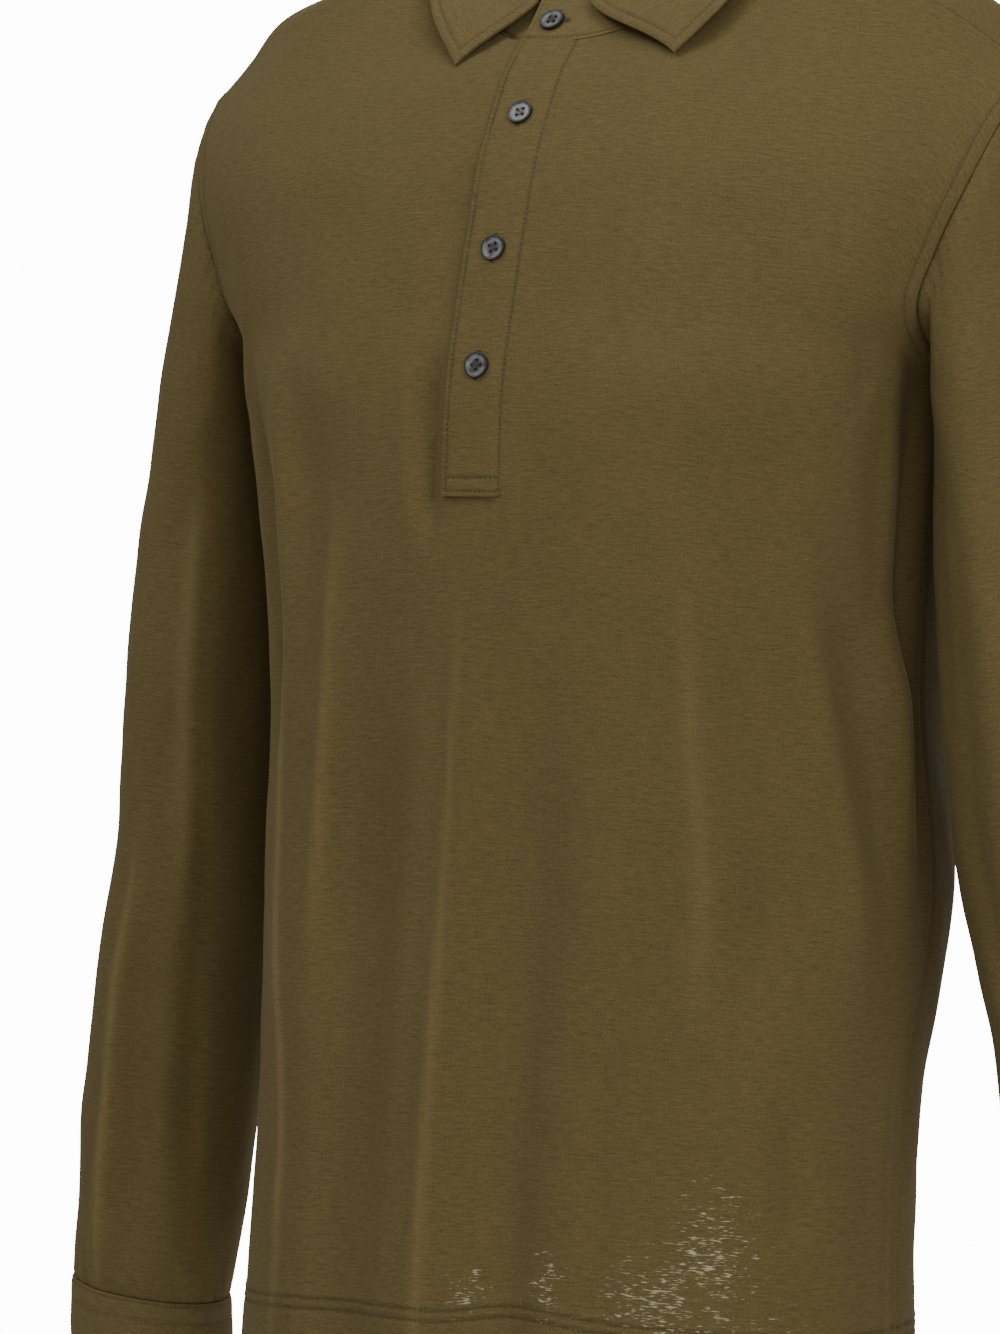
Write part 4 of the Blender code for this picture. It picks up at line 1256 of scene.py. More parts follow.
def neckline(angle: np.ndarray) -> np.ndarray:
    """Find the seam between body and collar stand.

    Args:
        angle: Angles round the neck, 0 at the centre front and a quarter turn at the left.

    Returns:
        A place for each angle.
    """
    angle = np.asarray(angle, float)
    ahead = np.cos(angle)
    reach = np.where(ahead > 0, NECK_FRONT_REACH, NECK_BACK_REACH)
    front_z = -NECK_FRONT_DROP * (1.0 - np.clip(1.0 - ahead, 0.0, 1.0) ** NECK_DROP_CURVE)
    z = np.where(ahead > 0, front_z, -NECK_BACK_RISE * ahead)
    return np.stack([NECK_HALF_WIDTH * np.sin(angle), NECK_CENTRE_Y - reach * ahead, z], axis=-1)


def shoulder_seam(shares: np.ndarray) -> np.ndarray:
    """Places on the left shoulder seam, from the neck to the armhole."""
    return along((tuple(neckline(SEAM_NECK_ANGLE)),) + SHOULDER_SEAM, shares)


def seam_normals(shares: np.ndarray) -> np.ndarray:
    """Normals along the left shoulder seam."""
    ahead = shoulder_seam(np.clip(shares + 0.02, 0, 1)) - shoulder_seam(np.clip(shares - 0.02, 0, 1))
    return unit(np.cross(ahead, [0.1, 0.86, 0.45]))


def neck_normals(angles: np.ndarray) -> np.ndarray:
    """Find the body cloth's normals where it ends at the neckline.

    Args:
        angles: Angles round the neck, on the wearer's left side.

    Returns:
        A normal for each angle.
    """
    ahead = neckline(angles + 0.01) - neckline(angles - 0.01)
    fall = NECK_FALL_SIDE + (NECK_FALL_FRONT - NECK_FALL_SIDE) * np.clip(np.cos(angles), 0, 1)
    return unit(np.cross(np.stack([np.sin(angles), -np.cos(angles), -fall], axis=-1), ahead))


def crossed(row: np.ndarray, across: np.ndarray) -> np.ndarray:
    """Places of a row of points at values of X."""
    return np.stack([np.interp(across, row[:, 0], row[:, axis]) for axis in range(3)], axis=-1)


def mirrored_where(points: np.ndarray, columns: np.ndarray) -> np.ndarray:
    """Points of the left side, mirrored for the columns of the right side."""
    return np.where((columns < 0)[:, None], mirrored(points), points)


# How the panels are divided, from the centre to the edge
SLIT_COLUMNS, FRONT_NECK_COLUMNS, BACK_NECK_COLUMNS = 5, 26, 34
OUTER_COLUMNS, EDGE_COLUMNS = 44, 9
EDGE_PART = 0.955
HEM_FINE = (0.27, 0.0014)
UPPER_FINE = (1.0, 0.0027)
CREST_CENTRE_Z = -0.009
CREST_SPREAD = (1.208, 1.2, 1.0)

# The panels' unevenness, and where it calms down
FRONT_WAVES = (Wave(0.085, 0.0007, 3), Wave(0.030, 0.00025, 9))
BACK_WAVES = (Wave(0.085, 0.0007, 5), Wave(0.030, 0.00025, 9))
CALM_EDGE = 0.10
CALM_MIDDLE, CALM_MIDDLE_FADE = 0.10, 0.06
CALM_TOP, CALM_TOP_FADE = -0.085, 0.06

# The panels' seams, hems and rows of stitches
ARMHOLE_COLUMNS = 40
ARMHOLE_ROWS_BELOW = 12
ARMHOLE_DIP = Beside(0.0004, 0.0012)
ARMHOLE_LAYER = Layer(0.00038, 0.0072, 0.0016)
ARMHOLE_GROOVE = Beside(0.00030, 0.0009, ARMHOLE_STITCH)
ARMHOLE_PUCKER = Beside(1.0, 0.0062)
HEM_SWAY = (Beside(-0.0040, 0.032, 0.035), Beside(0.0014, 0.016, -0.012))
HEM_GROOVE = Beside(0.00032, 0.0010)
# Extra painted shade for the hem's stitch grooves.
HEM_GROOVE_SHADE = 1.7
HEM_LAYER = Layer(0.00045, 0.0285, 0.0025)
HEM_PUCKER = Beside(0.75, 0.010, 0.024)
SLIT_LAYER = Layer(0.00045, 0.0190, 0.0120)
SIDE_DIP, SIDE_PUCKER = Beside(0.0008, 0.0016), Beside(0.6, 0.005)
SHOULDER_DIP, SHOULDER_PUCKER = Beside(0.0007, 0.0014), Beside(0.8, 0.0055)


@dataclass
class Body:
    """The front and the back, which meet at the shoulders and down the sides.

    Args:
        finish: The cloth's material.
        front_cut: Width and length of the front as it was cut; not used.
        back_cut: Width and length of the back as it was cut; not used.
    """

    finish: bpy.types.Material
    front_cut: tuple[float, float] = (0.58, 0.73)
    back_cut: tuple[float, float] = (0.56, 0.76)
    front: Cloth = field(init=False)
    back: Cloth = field(init=False)
    ring: np.ndarray = field(init=False)
    ring_normals: np.ndarray = field(init=False)
    ring_top: int = field(init=False)
    slit_row: int = field(init=False)

    def columns(self, neck_end: float, slit: bool) -> np.ndarray:
        """Divide a panel across, closer together at the slit, the neck and the edges.

        Args:
            neck_end: The column where the neckline meets the shoulder seam.
            slit: Whether the panel has the slit.

        Returns:
            Column values from -1 to 1.
        """
        inner = [np.linspace(0, neck_end, BACK_NECK_COLUMNS)]
        if slit:
            inner = [
                np.linspace(0, SLIT_COLUMN, SLIT_COLUMNS),
                np.linspace(SLIT_COLUMN, neck_end, FRONT_NECK_COLUMNS),
            ]
        outer = [np.linspace(neck_end, EDGE_PART, OUTER_COLUMNS), np.linspace(EDGE_PART, 1.0, EDGE_COLUMNS)]
        half = np.unique(np.round(np.concatenate(inner + outer), 9))
        return np.concatenate([-half[:0:-1], half])

    def row(self, row: PanelRow, columns: np.ndarray, slit: bool) -> np.ndarray:
        """Points of one control row.

        Args:
            row: The row's sizes.
            columns: Column values from -1 to 1.
            slit: Keep the columns beside the slit straight.

        Returns:
            A point for each column.
        """
        turn = math.asin(min(row.reach, 1.0))
        straight = math.asin(SLIT_HALF_WIDTH * row.reach / row.edge_x) / turn
        side = np.abs(columns)
        if slit:
            outside = straight + (side - SLIT_COLUMN) / (1 - SLIT_COLUMN) * (1 - straight)
            side = np.where(side <= SLIT_COLUMN, side / SLIT_COLUMN * straight, outside)
        x = np.clip(np.sin(side * turn) / row.reach, 0.0, 1.0)
        floor = (1 - row.reach**row.square) ** (1 / row.square)
        bulge = ((1 - np.clip(row.reach * x, 0, 1) ** row.square) ** (1 / row.square) - floor) / (1 - floor)
        y = row.edge_y + (row.centre_y - row.edge_y) * bulge
        z = row.centre_z + (row.edge_z - row.centre_z) * x**2
        return np.stack([np.sign(columns) * row.edge_x * x, y, z], axis=-1)

    def top(self, columns: np.ndarray, angles: np.ndarray, neck_end: float) -> np.ndarray:
        """Find a panel's upper edge: its half of the neckline, then the shoulder seam.

        Args:
            columns: Column values from -1 to 1.
            angles: Angles of the columns round the neck.
            neck_end: The column where the neckline meets the shoulder seam.

        Returns:
            A point for each column.
        """
        side = np.abs(columns)
        seam = shoulder_seam(np.clip((side - neck_end) / (1 - neck_end), 0, 1))
        return mirrored_where(np.where((side <= neck_end + 1e-9)[:, None], neckline(angles), seam), columns)

    def crest(self, columns: np.ndarray) -> np.ndarray:
        """Find the row over the crest of the shoulders and round the back of the neck.

        Args:
            columns: Column values from -1 to 1.

        Returns:
            A point for each column.
        """
        side = np.abs(columns)
        ring = neckline(np.interp(side, [0, BACK_NECK_END], [math.pi, math.pi / 2]))
        centre = np.array([0.0, NECK_CENTRE_Y, CREST_CENTRE_Z])
        ring = centre + (ring - centre * [1, 1, 0]) * CREST_SPREAD
        crest = along(SHOULDER_CREST, np.clip((side - BACK_NECK_END) / (1 - BACK_NECK_END), 0, 1))
        return mirrored_where(np.where((side <= BACK_NECK_END)[:, None], ring, crest), columns)

    def panel(
        self,
        name: str,
        control: list[np.ndarray],
        columns: np.ndarray,
        side: float,
        neck_end: float,
        angles: np.ndarray,
        folds: tuple[Fold, ...],
    ) -> Cloth:
        """Loft a panel, and give it its folds and its seams.

        Args:
            name: The panel's name.
            control: Its control rows.
            columns: Its column values.
            side: 1 for the front, -1 for the back.
            neck_end: The column where the neckline meets the shoulder seam.
            angles: Angles of the columns round the neck.
            folds: Its folds and creases.

        Returns:
            The panel.
        """
        fine = {0: HEM_FINE}
        fine.update({number: UPPER_FINE for number in range(UNDERARM_ROW, len(control) - 1)})
        places = even_places(control, MESH_STEP, fine)
        weight = smooth_step((np.abs(columns) - 0.75) / 0.25)
        grid = loft(control, places, UNDERARM_ROW, weight)
        height = relief(folds, columns[None, :], grid[:, :, 2], PANEL_BREADTH)
        calm = smooth_step((1 - np.abs(columns)) / CALM_EDGE)
        if side > 0:
            calm = calm * smooth_step((np.abs(columns) - CALM_MIDDLE) / CALM_MIDDLE_FADE)
        rumple = sum(wave.over(grid) for wave in (FRONT_WAVES if side > 0 else BACK_WAVES)) * calm[None, :]
        rumple *= smooth_step((CALM_TOP - grid[:, :, 2]) / CALM_TOP_FADE)
        grid = grid + grid_normals(grid, side) * (height + rumple)[..., None]
        normals = grid_normals(grid, side)
        at_neck = np.abs(columns) <= neck_end + 1e-9
        normals[-1][at_neck] = mirrored_where(neck_normals(angles), columns)[at_neck]
        underarm = int(np.searchsorted(places, UNDERARM_ROW))
        for edge, sign in ((0, -1.0), (-1, 1.0)):
            grid[: underarm + 1, edge, 1] -= SEAM_GAP / 2 * side
            normals[: underarm + 1, edge] = (sign, 0.0, 0.0)
        shares = np.clip((np.abs(columns) - neck_end) / (1 - neck_end), 0, 1)
        seam = mirrored_where(seam_normals(shares), columns)
        grid[-1][~at_neck] -= np.array([0.0, 0.86, 0.5]) * SEAM_GAP / 2 * side
        normals[-1][~at_neck] = seam[~at_neck]
        return Cloth(name, grid, normals, places=places, underarm=underarm)

    def build(self) -> None:
        """Make both panels' forms, and the armhole that the sleeves start from."""
        columns = self.columns(FRONT_NECK_END, True)
        slit_angle = math.asin(SLIT_HALF_WIDTH / NECK_HALF_WIDTH)
        angles = np.interp(
            np.abs(columns), [0, SLIT_COLUMN, FRONT_NECK_END], [0, slit_angle, SEAM_NECK_ANGLE]
        )
        control = [self.row(row, columns, True) for row in FRONT_ROWS]
        control.append(self.top(columns, angles, FRONT_NECK_END))
        folds = FRONT_FOLDS + FRONT_CREASES
        self.front = self.panel("front_cloth", control, columns, 1.0, FRONT_NECK_END, angles, folds)
        # Ridge lightening of the front: painted highlight, partly abrasion.
        ridge_wear_and_highlights = relief(FRONT_RIDGE_WEAR_AND_HIGHLIGHTS, columns[None, :], self.front.grid[:, :, 2], PANEL_BREADTH)
        self.front.mark("crest", ridge_wear_and_highlights)
        self.slit_row = int(np.searchsorted(self.front.places, SLIT_ROW))
        middle = (columns[:-1] + columns[1:]) / 2
        keep = np.ones((len(self.front.grid) - 1, len(columns) - 1), bool)
        keep[self.slit_row :, np.abs(middle) < SLIT_COLUMN] = False
        self.front.keep = keep

        columns = self.columns(BACK_NECK_END, False)
        angles = np.interp(np.abs(columns), [0, BACK_NECK_END], [math.pi, SEAM_NECK_ANGLE])
        control = [self.row(row, columns, False) for row in BACK_ROWS]
        control += [self.crest(columns), self.top(columns, angles, BACK_NECK_END)]
        folds = BACK_FOLDS + BACK_CREASES
        self.back = self.panel("back_cloth", control, columns, -1.0, BACK_NECK_END, angles, folds)

        front, back = self.front, self.back
        ahead = front.grid[front.underarm :, -1], front.normals[front.underarm :, -1]
        behind = back.grid[back.underarm :, -1], back.normals[back.underarm :, -1]
        self.ring, self.ring_normals = (
            np.concatenate([first, second[1:-1][::-1]]) for first, second in zip(ahead, behind)
        )
        self.ring_top = len(ahead[0]) - 1

    def press_armholes(
        self, cloth: Cloth, height: np.ndarray, pucker: np.ndarray
    ) -> list[tuple[tuple[slice, slice], np.ndarray]]:
        """Sink a panel's armhole seams, and raise the cloth over their allowances.

        Args:
            cloth: The panel.
            height: How far the cloth is raised, which this adds to.
            pucker: How far its columns are puckered, which this adds to.

        Returns:
            For each armhole the part of the panel beside it, and the distances from its seam.
        """
        count = cloth.grid.shape[1]
        low = max(cloth.underarm - ARMHOLE_ROWS_BELOW, 0)
        reached = []
        for edge, step in ((0, 1), (-1, -1)):
            near = np.arange(count)[::step] < ARMHOLE_COLUMNS
            gap = np.full(height.shape, 1.0)
            gap[low:, near], _ = gap_to(cloth.grid[low:, near], cloth.grid[cloth.underarm :, edge])
            height += ARMHOLE_LAYER.at(gap) - ARMHOLE_DIP.at(gap) - ARMHOLE_GROOVE.at(gap)
            np.maximum(pucker, ARMHOLE_PUCKER.at(gap), out=pucker)
            cloth.mark("groove", ARMHOLE_GROOVE.share(gap))
            reached.append((np.s_[low:, ::step], gap))
        return reached

    def press_hem(self, cloth: Cloth, height: np.ndarray, pucker: np.ndarray) -> np.ndarray:
        """Press the grooves of a panel's hem, and raise its doubled cloth.

        Args:
            cloth: The panel.
            height: How far the cloth is raised, which this adds to.
            pucker: How far its rows are puckered, which this adds to.

        Returns:
            How far each point lies above the hem.
        """
        across, up = cloth.lengths()
        up = up + sum(sway.at(across) for sway in HEM_SWAY)
        for level in HEM_STITCH_LEVELS:
            groove = HEM_GROOVE.share(up - level)
            height -= HEM_GROOVE.amount * groove
            cloth.mark("groove", HEM_GROOVE_SHADE * groove)
        height += HEM_LAYER.at(up)
        np.maximum(pucker, HEM_PUCKER.at(up), out=pucker)
        return up

    def seams(self) -> tuple[list[tuple[np.ndarray, np.ndarray]], list[tuple[np.ndarray, np.ndarray]]]:
        """Sink the seams, raise the hem and allowances, and find the rows of stitches.

        Returns:
            The armhole rows and the hem rows.
        """
        armhole_rows, hem_rows = [], []
        neck_reach = abs(shoulder_seam(np.array([0.0]))[0, 0]) + 1e-6
        for cloth in (self.front, self.back):
            height, pucker_u, pucker_v = (np.zeros(cloth.grid.shape[:2]) for _ in range(3))
            reached = self.press_armholes(cloth, height, pucker_v)
            up = self.press_hem(cloth, height, pucker_u)
            side_gap = np.minimum(cloth.from_edge(0), cloth.from_edge(-1))
            side_gap[cloth.underarm + 1 :] = 1.0
            top_gap = np.linalg.norm(cloth.grid - cloth.grid[-1], axis=2)
            at_neck = np.abs(cloth.grid[-1, :, 0]) < neck_reach
            height -= SIDE_DIP.at(side_gap) + np.where(at_neck, 0.0, SHOULDER_DIP.at(top_gap))
            cloth.mark("pucker_u", np.maximum(pucker_u, SHOULDER_PUCKER.at(top_gap)))
            cloth.mark("pucker_v", np.maximum(pucker_v, SIDE_PUCKER.at(side_gap)))
            cloth.raise_by(height)
            armhole_rows += [cloth.line_at(gap, ARMHOLE_STITCH, part) for part, gap in reached]
            hem_rows += [cloth.line_at(up, level, upward=True) for level in HEM_STITCH_LEVELS]
        return armhole_rows, hem_rows

    def raise_placket_side_and_mark_painted_light(self) -> None:
        """Raise the cloth beside the placket, and mark the worn places near the hem where light showing
        through the knit is painted into the cloth's colour.
        """
        x, z = self.front.grid[:, :, 0], self.front.grid[:, :, 2]
        beside = smooth_step((x - 0.0120) / 0.0020) * SLIT_LAYER.at(x)
        self.front.raise_by(beside * (np.arange(len(x)) >= self.slit_row)[:, None])
        thin_with_painted_light = np.zeros(x.shape)
        for spot in THIN_PLACES_WITH_PAINTED_LIGHT:
            away = ((x - spot.x) / spot.breadth) ** 2 + ((z - spot.z) / spot.height) ** 2
            thin_with_painted_light = np.maximum(thin_with_painted_light, spot.strength * np.exp(-away))
        self.front.mark("thin_with_painted_light", np.where(self.front.normals[:, :, 1] < 0, thin_with_painted_light, 0))

    def dress(self, stitching: Stitching) -> None:
        """Make both panels and sew their hems and armholes.

        Args:
            stitching: How the stitches are made.
        """
        armhole_rows, hem_rows = self.seams()
        self.raise_placket_side_and_mark_painted_light()
        for cloth, node, cut in ((self.front, "front", self.front_cut), (self.back, "back", self.back_cut)):
            cloth.make(self.finish, Slot.CLOTH, (node,))
        stitching.sew("armhole_stitches", armhole_rows)
        stitching.sew("hem_stitches", hem_rows)


# The sleeves' rows, unevenness, seams and cuffs
SLEEVE_TOP_FINE = ((1.0, 0.0016), (1.0, 0.0026))
SLEEVE_END_FINE = (1.0, 0.0018)
SLEEVE_WAVES = {
    Side.LEFT: (Wave(0.070, 0.0006, 21), Wave(0.026, 0.00025, 33)),
    Side.RIGHT: (Wave(0.070, 0.0006, 27), Wave(0.026, 0.00025, 33)),
}
CUFF_WAVE = Wave(0.034, 0.00045, 41)
CUFF_RISE = (
    (0.0, -0.0009),
    (0.012, -0.0004),
    (0.03, -0.0001),
    (0.06, 0.0),
    (0.5, 0.0006),
    (0.94, 0.0),
    (0.97, -0.0002),
    (0.988, -0.0006),
    (1.0, -0.0012),
)
CUFF_SHARES = ((0.0, 0.012, 0.03, 0.06), (0.10, 0.90, 24), (0.94, 0.97, 0.988, 1.0))
CUFF_UPRIGHT = 0.15
CUFF_CALM = 0.2
SLEEVE_FOLD_ROWS = 8
SLEEVE_CALM_ROWS, SLEEVE_CALM_END_ROWS = 18, 6
SLEEVE_TOP_FROM, SLEEVE_TOP_FADE = 0.1, 0.6
CUFF_STITCH_LEVELS = (0.0019, 0.0112)
CUFF_GROOVE = Beside(0.00035, 0.0009)
CUFF_PUCKER = Beside(0.8, 0.010, 0.006)
SLEEVE_PUCKER = Beside(0.9, 0.010)
SLEEVE_TOP_DIP, SLEEVE_END_DIP = Beside(0.0004, 0.0014), Beside(0.0006, 0.0016)
SLEEVE_EASE, SLEEVE_EASE_WAVES = Beside(0.00028, 0.009, 0.010), 46
SLEEVE_GATHER, SLEEVE_GATHER_WAVES = Beside(0.00030, 0.012, 0.004), (31, 1.2, 5)


@dataclass
class Sleeve:
    """A set-in sleeve and the cuff turned on its end.

    Args:
        side: The wearer's side.
        cloth_finish: The sleeve's material.
        cuff_finish: The cuff's material.
        cut: Width and length of the sleeve's cut; not used.
        cuff_cut: Width and length of the cuff's cut; not used.
    """

    side: Side
    cloth_finish: bpy.types.Material
    cuff_finish: bpy.types.Material
    cut: tuple[float, float] = (0.42, 0.62)
    cuff_cut: tuple[float, float] = (0.25, 0.052)
    sleeve: Cloth = field(init=False)
    cuff: Cloth = field(init=False)

    def rings(self, armhole: np.ndarray, top: int) -> tuple[list[np.ndarray], np.ndarray]:
        """Find the control rings, the armhole's own points first.

        Args:
            armhole: Points round the armhole.
            top: The number of the point on the shoulder.

        Returns:
            The rings, and the angles of their columns.
        """
        centre = (armhole[0] + armhole[top]) / 2
        across = armhole[top] - centre
        reach = np.linalg.norm(across)
        across = across / reach
        low, high = armhole[:, 1].min(), armhole[:, 1].max()
        centre[1] = (low + high) / 2
        depth = (high - low) / 2
        local = armhole - centre
        angles = np.arctan2(-local[:, 1] / depth, local @ across / reach)
        round_hole = centre + np.cos(angles)[:, None] * across * reach
        round_hole = round_hole - np.sin(angles)[:, None] * [0.0, depth, 0.0]
        kept = np.zeros(len(SLEEVE_ROWS))
        kept[: len(ARMHOLE_SHARES)] = ARMHOLE_SHARES
        rings = [armhole]
        for row, share in zip(SLEEVE_ROWS, kept):
            outer = np.array([row.outer_x, 0.0, row.outer_z])
            late = smooth_step((INNER_SHIFT_TOP - row.inner_z) / INNER_SHIFT_RUN)
            inner = np.array([row.inner_x + SLEEVE_INNER_SHIFT[self.side] * late, 0.0, row.inner_z])
            middle = (outer + inner) / 2 + [0.0, (row.front_y + row.back_y) / 2, 0.0]
            half, deep = (outer - inner) / 2, (row.back_y - row.front_y) / 2
            ring = middle + np.cos(angles)[:, None] * half - np.sin(angles)[:, None] * [0.0, deep, 0.0]
            rings.append(ring + (armhole - round_hole) * share)
        return rings, angles

    def build(self, armhole: np.ndarray, edge_normals: np.ndarray, top: int) -> None:
        """Loft the sleeve down from the armhole, then the cuff from its last ring.

        Args:
            armhole: Points round the armhole.
            edge_normals: The body's normals there.
            top: The number of the point on the shoulder.
        """
        self.build_sleeve(armhole, edge_normals, top)
        self.build_cuff()
        if self.side is Side.RIGHT:
            for cloth in (self.sleeve, self.cuff):
                cloth.grid, cloth.normals = mirrored(cloth.grid), mirrored(cloth.normals)

    def build_sleeve(self, armhole: np.ndarray, edge_normals: np.ndarray, top: int) -> None:
        """Make the sleeve's form, as a left one.

        Args:
            armhole: Points round the armhole.
            edge_normals: The body's normals there.
            top: The number of the point on the shoulder.
        """
        rings, angles = self.rings(armhole, top)
        fine = {**dict(enumerate(SLEEVE_TOP_FINE)), len(rings) - 2: SLEEVE_END_FINE}
        grid = loft(rings, even_places(rings, MESH_STEP, fine))
        turn = angles[None, :] / math.pi
        folds = SLEEVE_FOLDS[self.side] + SLEEVE_CREASES[self.side]
        height = relief(folds, turn, grid[:, :, 2], SLEEVE_BREADTH)
        rumple = sum(wave.over(grid) for wave in SLEEVE_WAVES[self.side])
        run = np.arange(len(grid))[:, None]
        height *= smooth_step(run / SLEEVE_FOLD_ROWS)
        rumple *= smooth_step(run / SLEEVE_CALM_ROWS)
        rumple *= smooth_step((len(grid) - 1 - run) / SLEEVE_CALM_END_ROWS)
        grid = grid + grid_normals(grid, -1.0, True) * (height + rumple)[..., None]
        normals = grid_normals(grid, -1.0, True)
        ahead = np.roll(grid[0], -1, axis=0) - np.roll(grid[0], 1, axis=0)
        away = unit(np.cross(ahead, normals[0]))
        away *= np.sign(np.sum(away * (grid[1] - grid[0]), axis=1))[:, None]
        grid[0] = grid[0] + away * ARMHOLE_GAP
        over = smooth_step((np.cos(angles) - SLEEVE_TOP_FROM) / SLEEVE_TOP_FADE)[:, None]
        normals[0] = unit(normals[0] * (1 - over) + edge_normals * over)
        self.sleeve = Cloth(f"sleeve_cloth_{self.side.value}", grid, normals, closed=True, level_end=True)
        # Ridge lightening of the sleeve: painted highlight, partly abrasion.
        self.sleeve.mark("crest", relief(SLEEVE_RIDGE_WEAR_AND_HIGHLIGHTS[self.side], turn, grid[:, :, 2], SLEEVE_BREADTH))

    def build_cuff(self) -> None:
        """Make the form of the cuff that goes on from the sleeve's last ring."""
        grid, normals = self.sleeve.grid, self.sleeve.normals
        flat = unit(normals[-1] * np.array([1.0, 1.0, CUFF_UPRIGHT]))
        start = grid[-1] + flat * CUFF_PROUD
        first, middle, last = CUFF_SHARES
        shares = np.concatenate([first, np.linspace(*middle), last])
        rise = np.interp(shares, *zip(*CUFF_RISE))
        drop = -SEAM_GAP - CUFF_DEPTH * shares
        rows = start + flat * rise[:, None, None] + np.array([0.0, 0.0, 1.0]) * drop[:, None, None]
        band = np.repeat(flat[None], len(rows), axis=0)
        wave = CUFF_WAVE.over(rows) * smooth_step(shares / CUFF_CALM)[:, None]
        rows = rows + band * wave[..., None]
        self.cuff = Cloth(f"cuff_cloth_{self.side.value}", rows, band, CUFF_WALL, True)

    def dress(self, stitching: Stitching) -> None:
        """Sink the seams, make sleeve and cuff, and sew the cuff's rows.

        Args:
            stitching: How the stitches are made.
        """
        _, down = self.sleeve.lengths()
        left = down[-1] - down
        turns = math.pi * np.linspace(0, 2, self.sleeve.grid.shape[1], endpoint=False)
        waves, sway, slow = SLEEVE_GATHER_WAVES
        ease = SLEEVE_EASE.at(down) * np.sin(turns * SLEEVE_EASE_WAVES)
        gather = SLEEVE_GATHER.at(left) * np.sin(turns * waves + sway * np.sin(turns * slow))
        self.sleeve.raise_by(ease + gather - SLEEVE_TOP_DIP.at(down) - SLEEVE_END_DIP.at(left))
        self.sleeve.mark("pucker_u", np.maximum(SLEEVE_PUCKER.at(down), SLEEVE_PUCKER.at(left)))
        rows = []
        _, depth = self.cuff.lengths()
        for level in CUFF_STITCH_LEVELS:
            groove = CUFF_GROOVE.share(depth - level)
            self.cuff.raise_by(-CUFF_GROOVE.amount * groove)
            self.cuff.mark("groove", groove)
            line, facing = self.cuff.line_at(depth, level, upward=True)
            rows.append((np.concatenate([line, line[:1]]), np.concatenate([facing, facing[:1]])))
        self.cuff.mark("pucker_u", CUFF_PUCKER.at(depth))
        name = self.side.value
        item = self.sleeve.make(self.cloth_finish, Slot.CLOTH, (f"sleeve_{name}",))
        item = self.cuff.make(self.cuff_finish, Slot.DOUBLED, (f"cuff_{name}",))
        stitching.sew(f"cuff_stitches_{name}", rows)


# The placket's columns, rows, grooves and unevenness
LAP_COLUMNS = ((-PLACKET_HALF_WIDTH, -0.0128, 8), (-0.0115, 0.0115, 18))
LAP_SEWN_COLUMNS = (0.0128, 6)
LAP_TRIM = -0.004
LAP_STEP = 0.0018
LAP_CLOSE_RUN, LAP_CLOSE_ROWS = 0.012, 14
LAP_GROOVE = Beside(0.00032, 0.0009)
LAP_FLAT_GROOVE = 0.2
LAP_STITCH_FROM = 0.0022
LAP_FREE, LAP_FREE_FADE = 0.0060, 0.0060
LAP_PUCKER, LAP_PUCKER_PLACE = Wave(0.011, 0.00022, 51), Beside(1.0, 0.004, 0.0025)
LAP_PUCKER_MARK = 0.7
LAP_WAVE = Wave(0.045, 0.00030, 57)
LAP_ROLL = (Beside(0.00030, 0.0008, 0.0010), Beside(-0.0002, 0.0006))


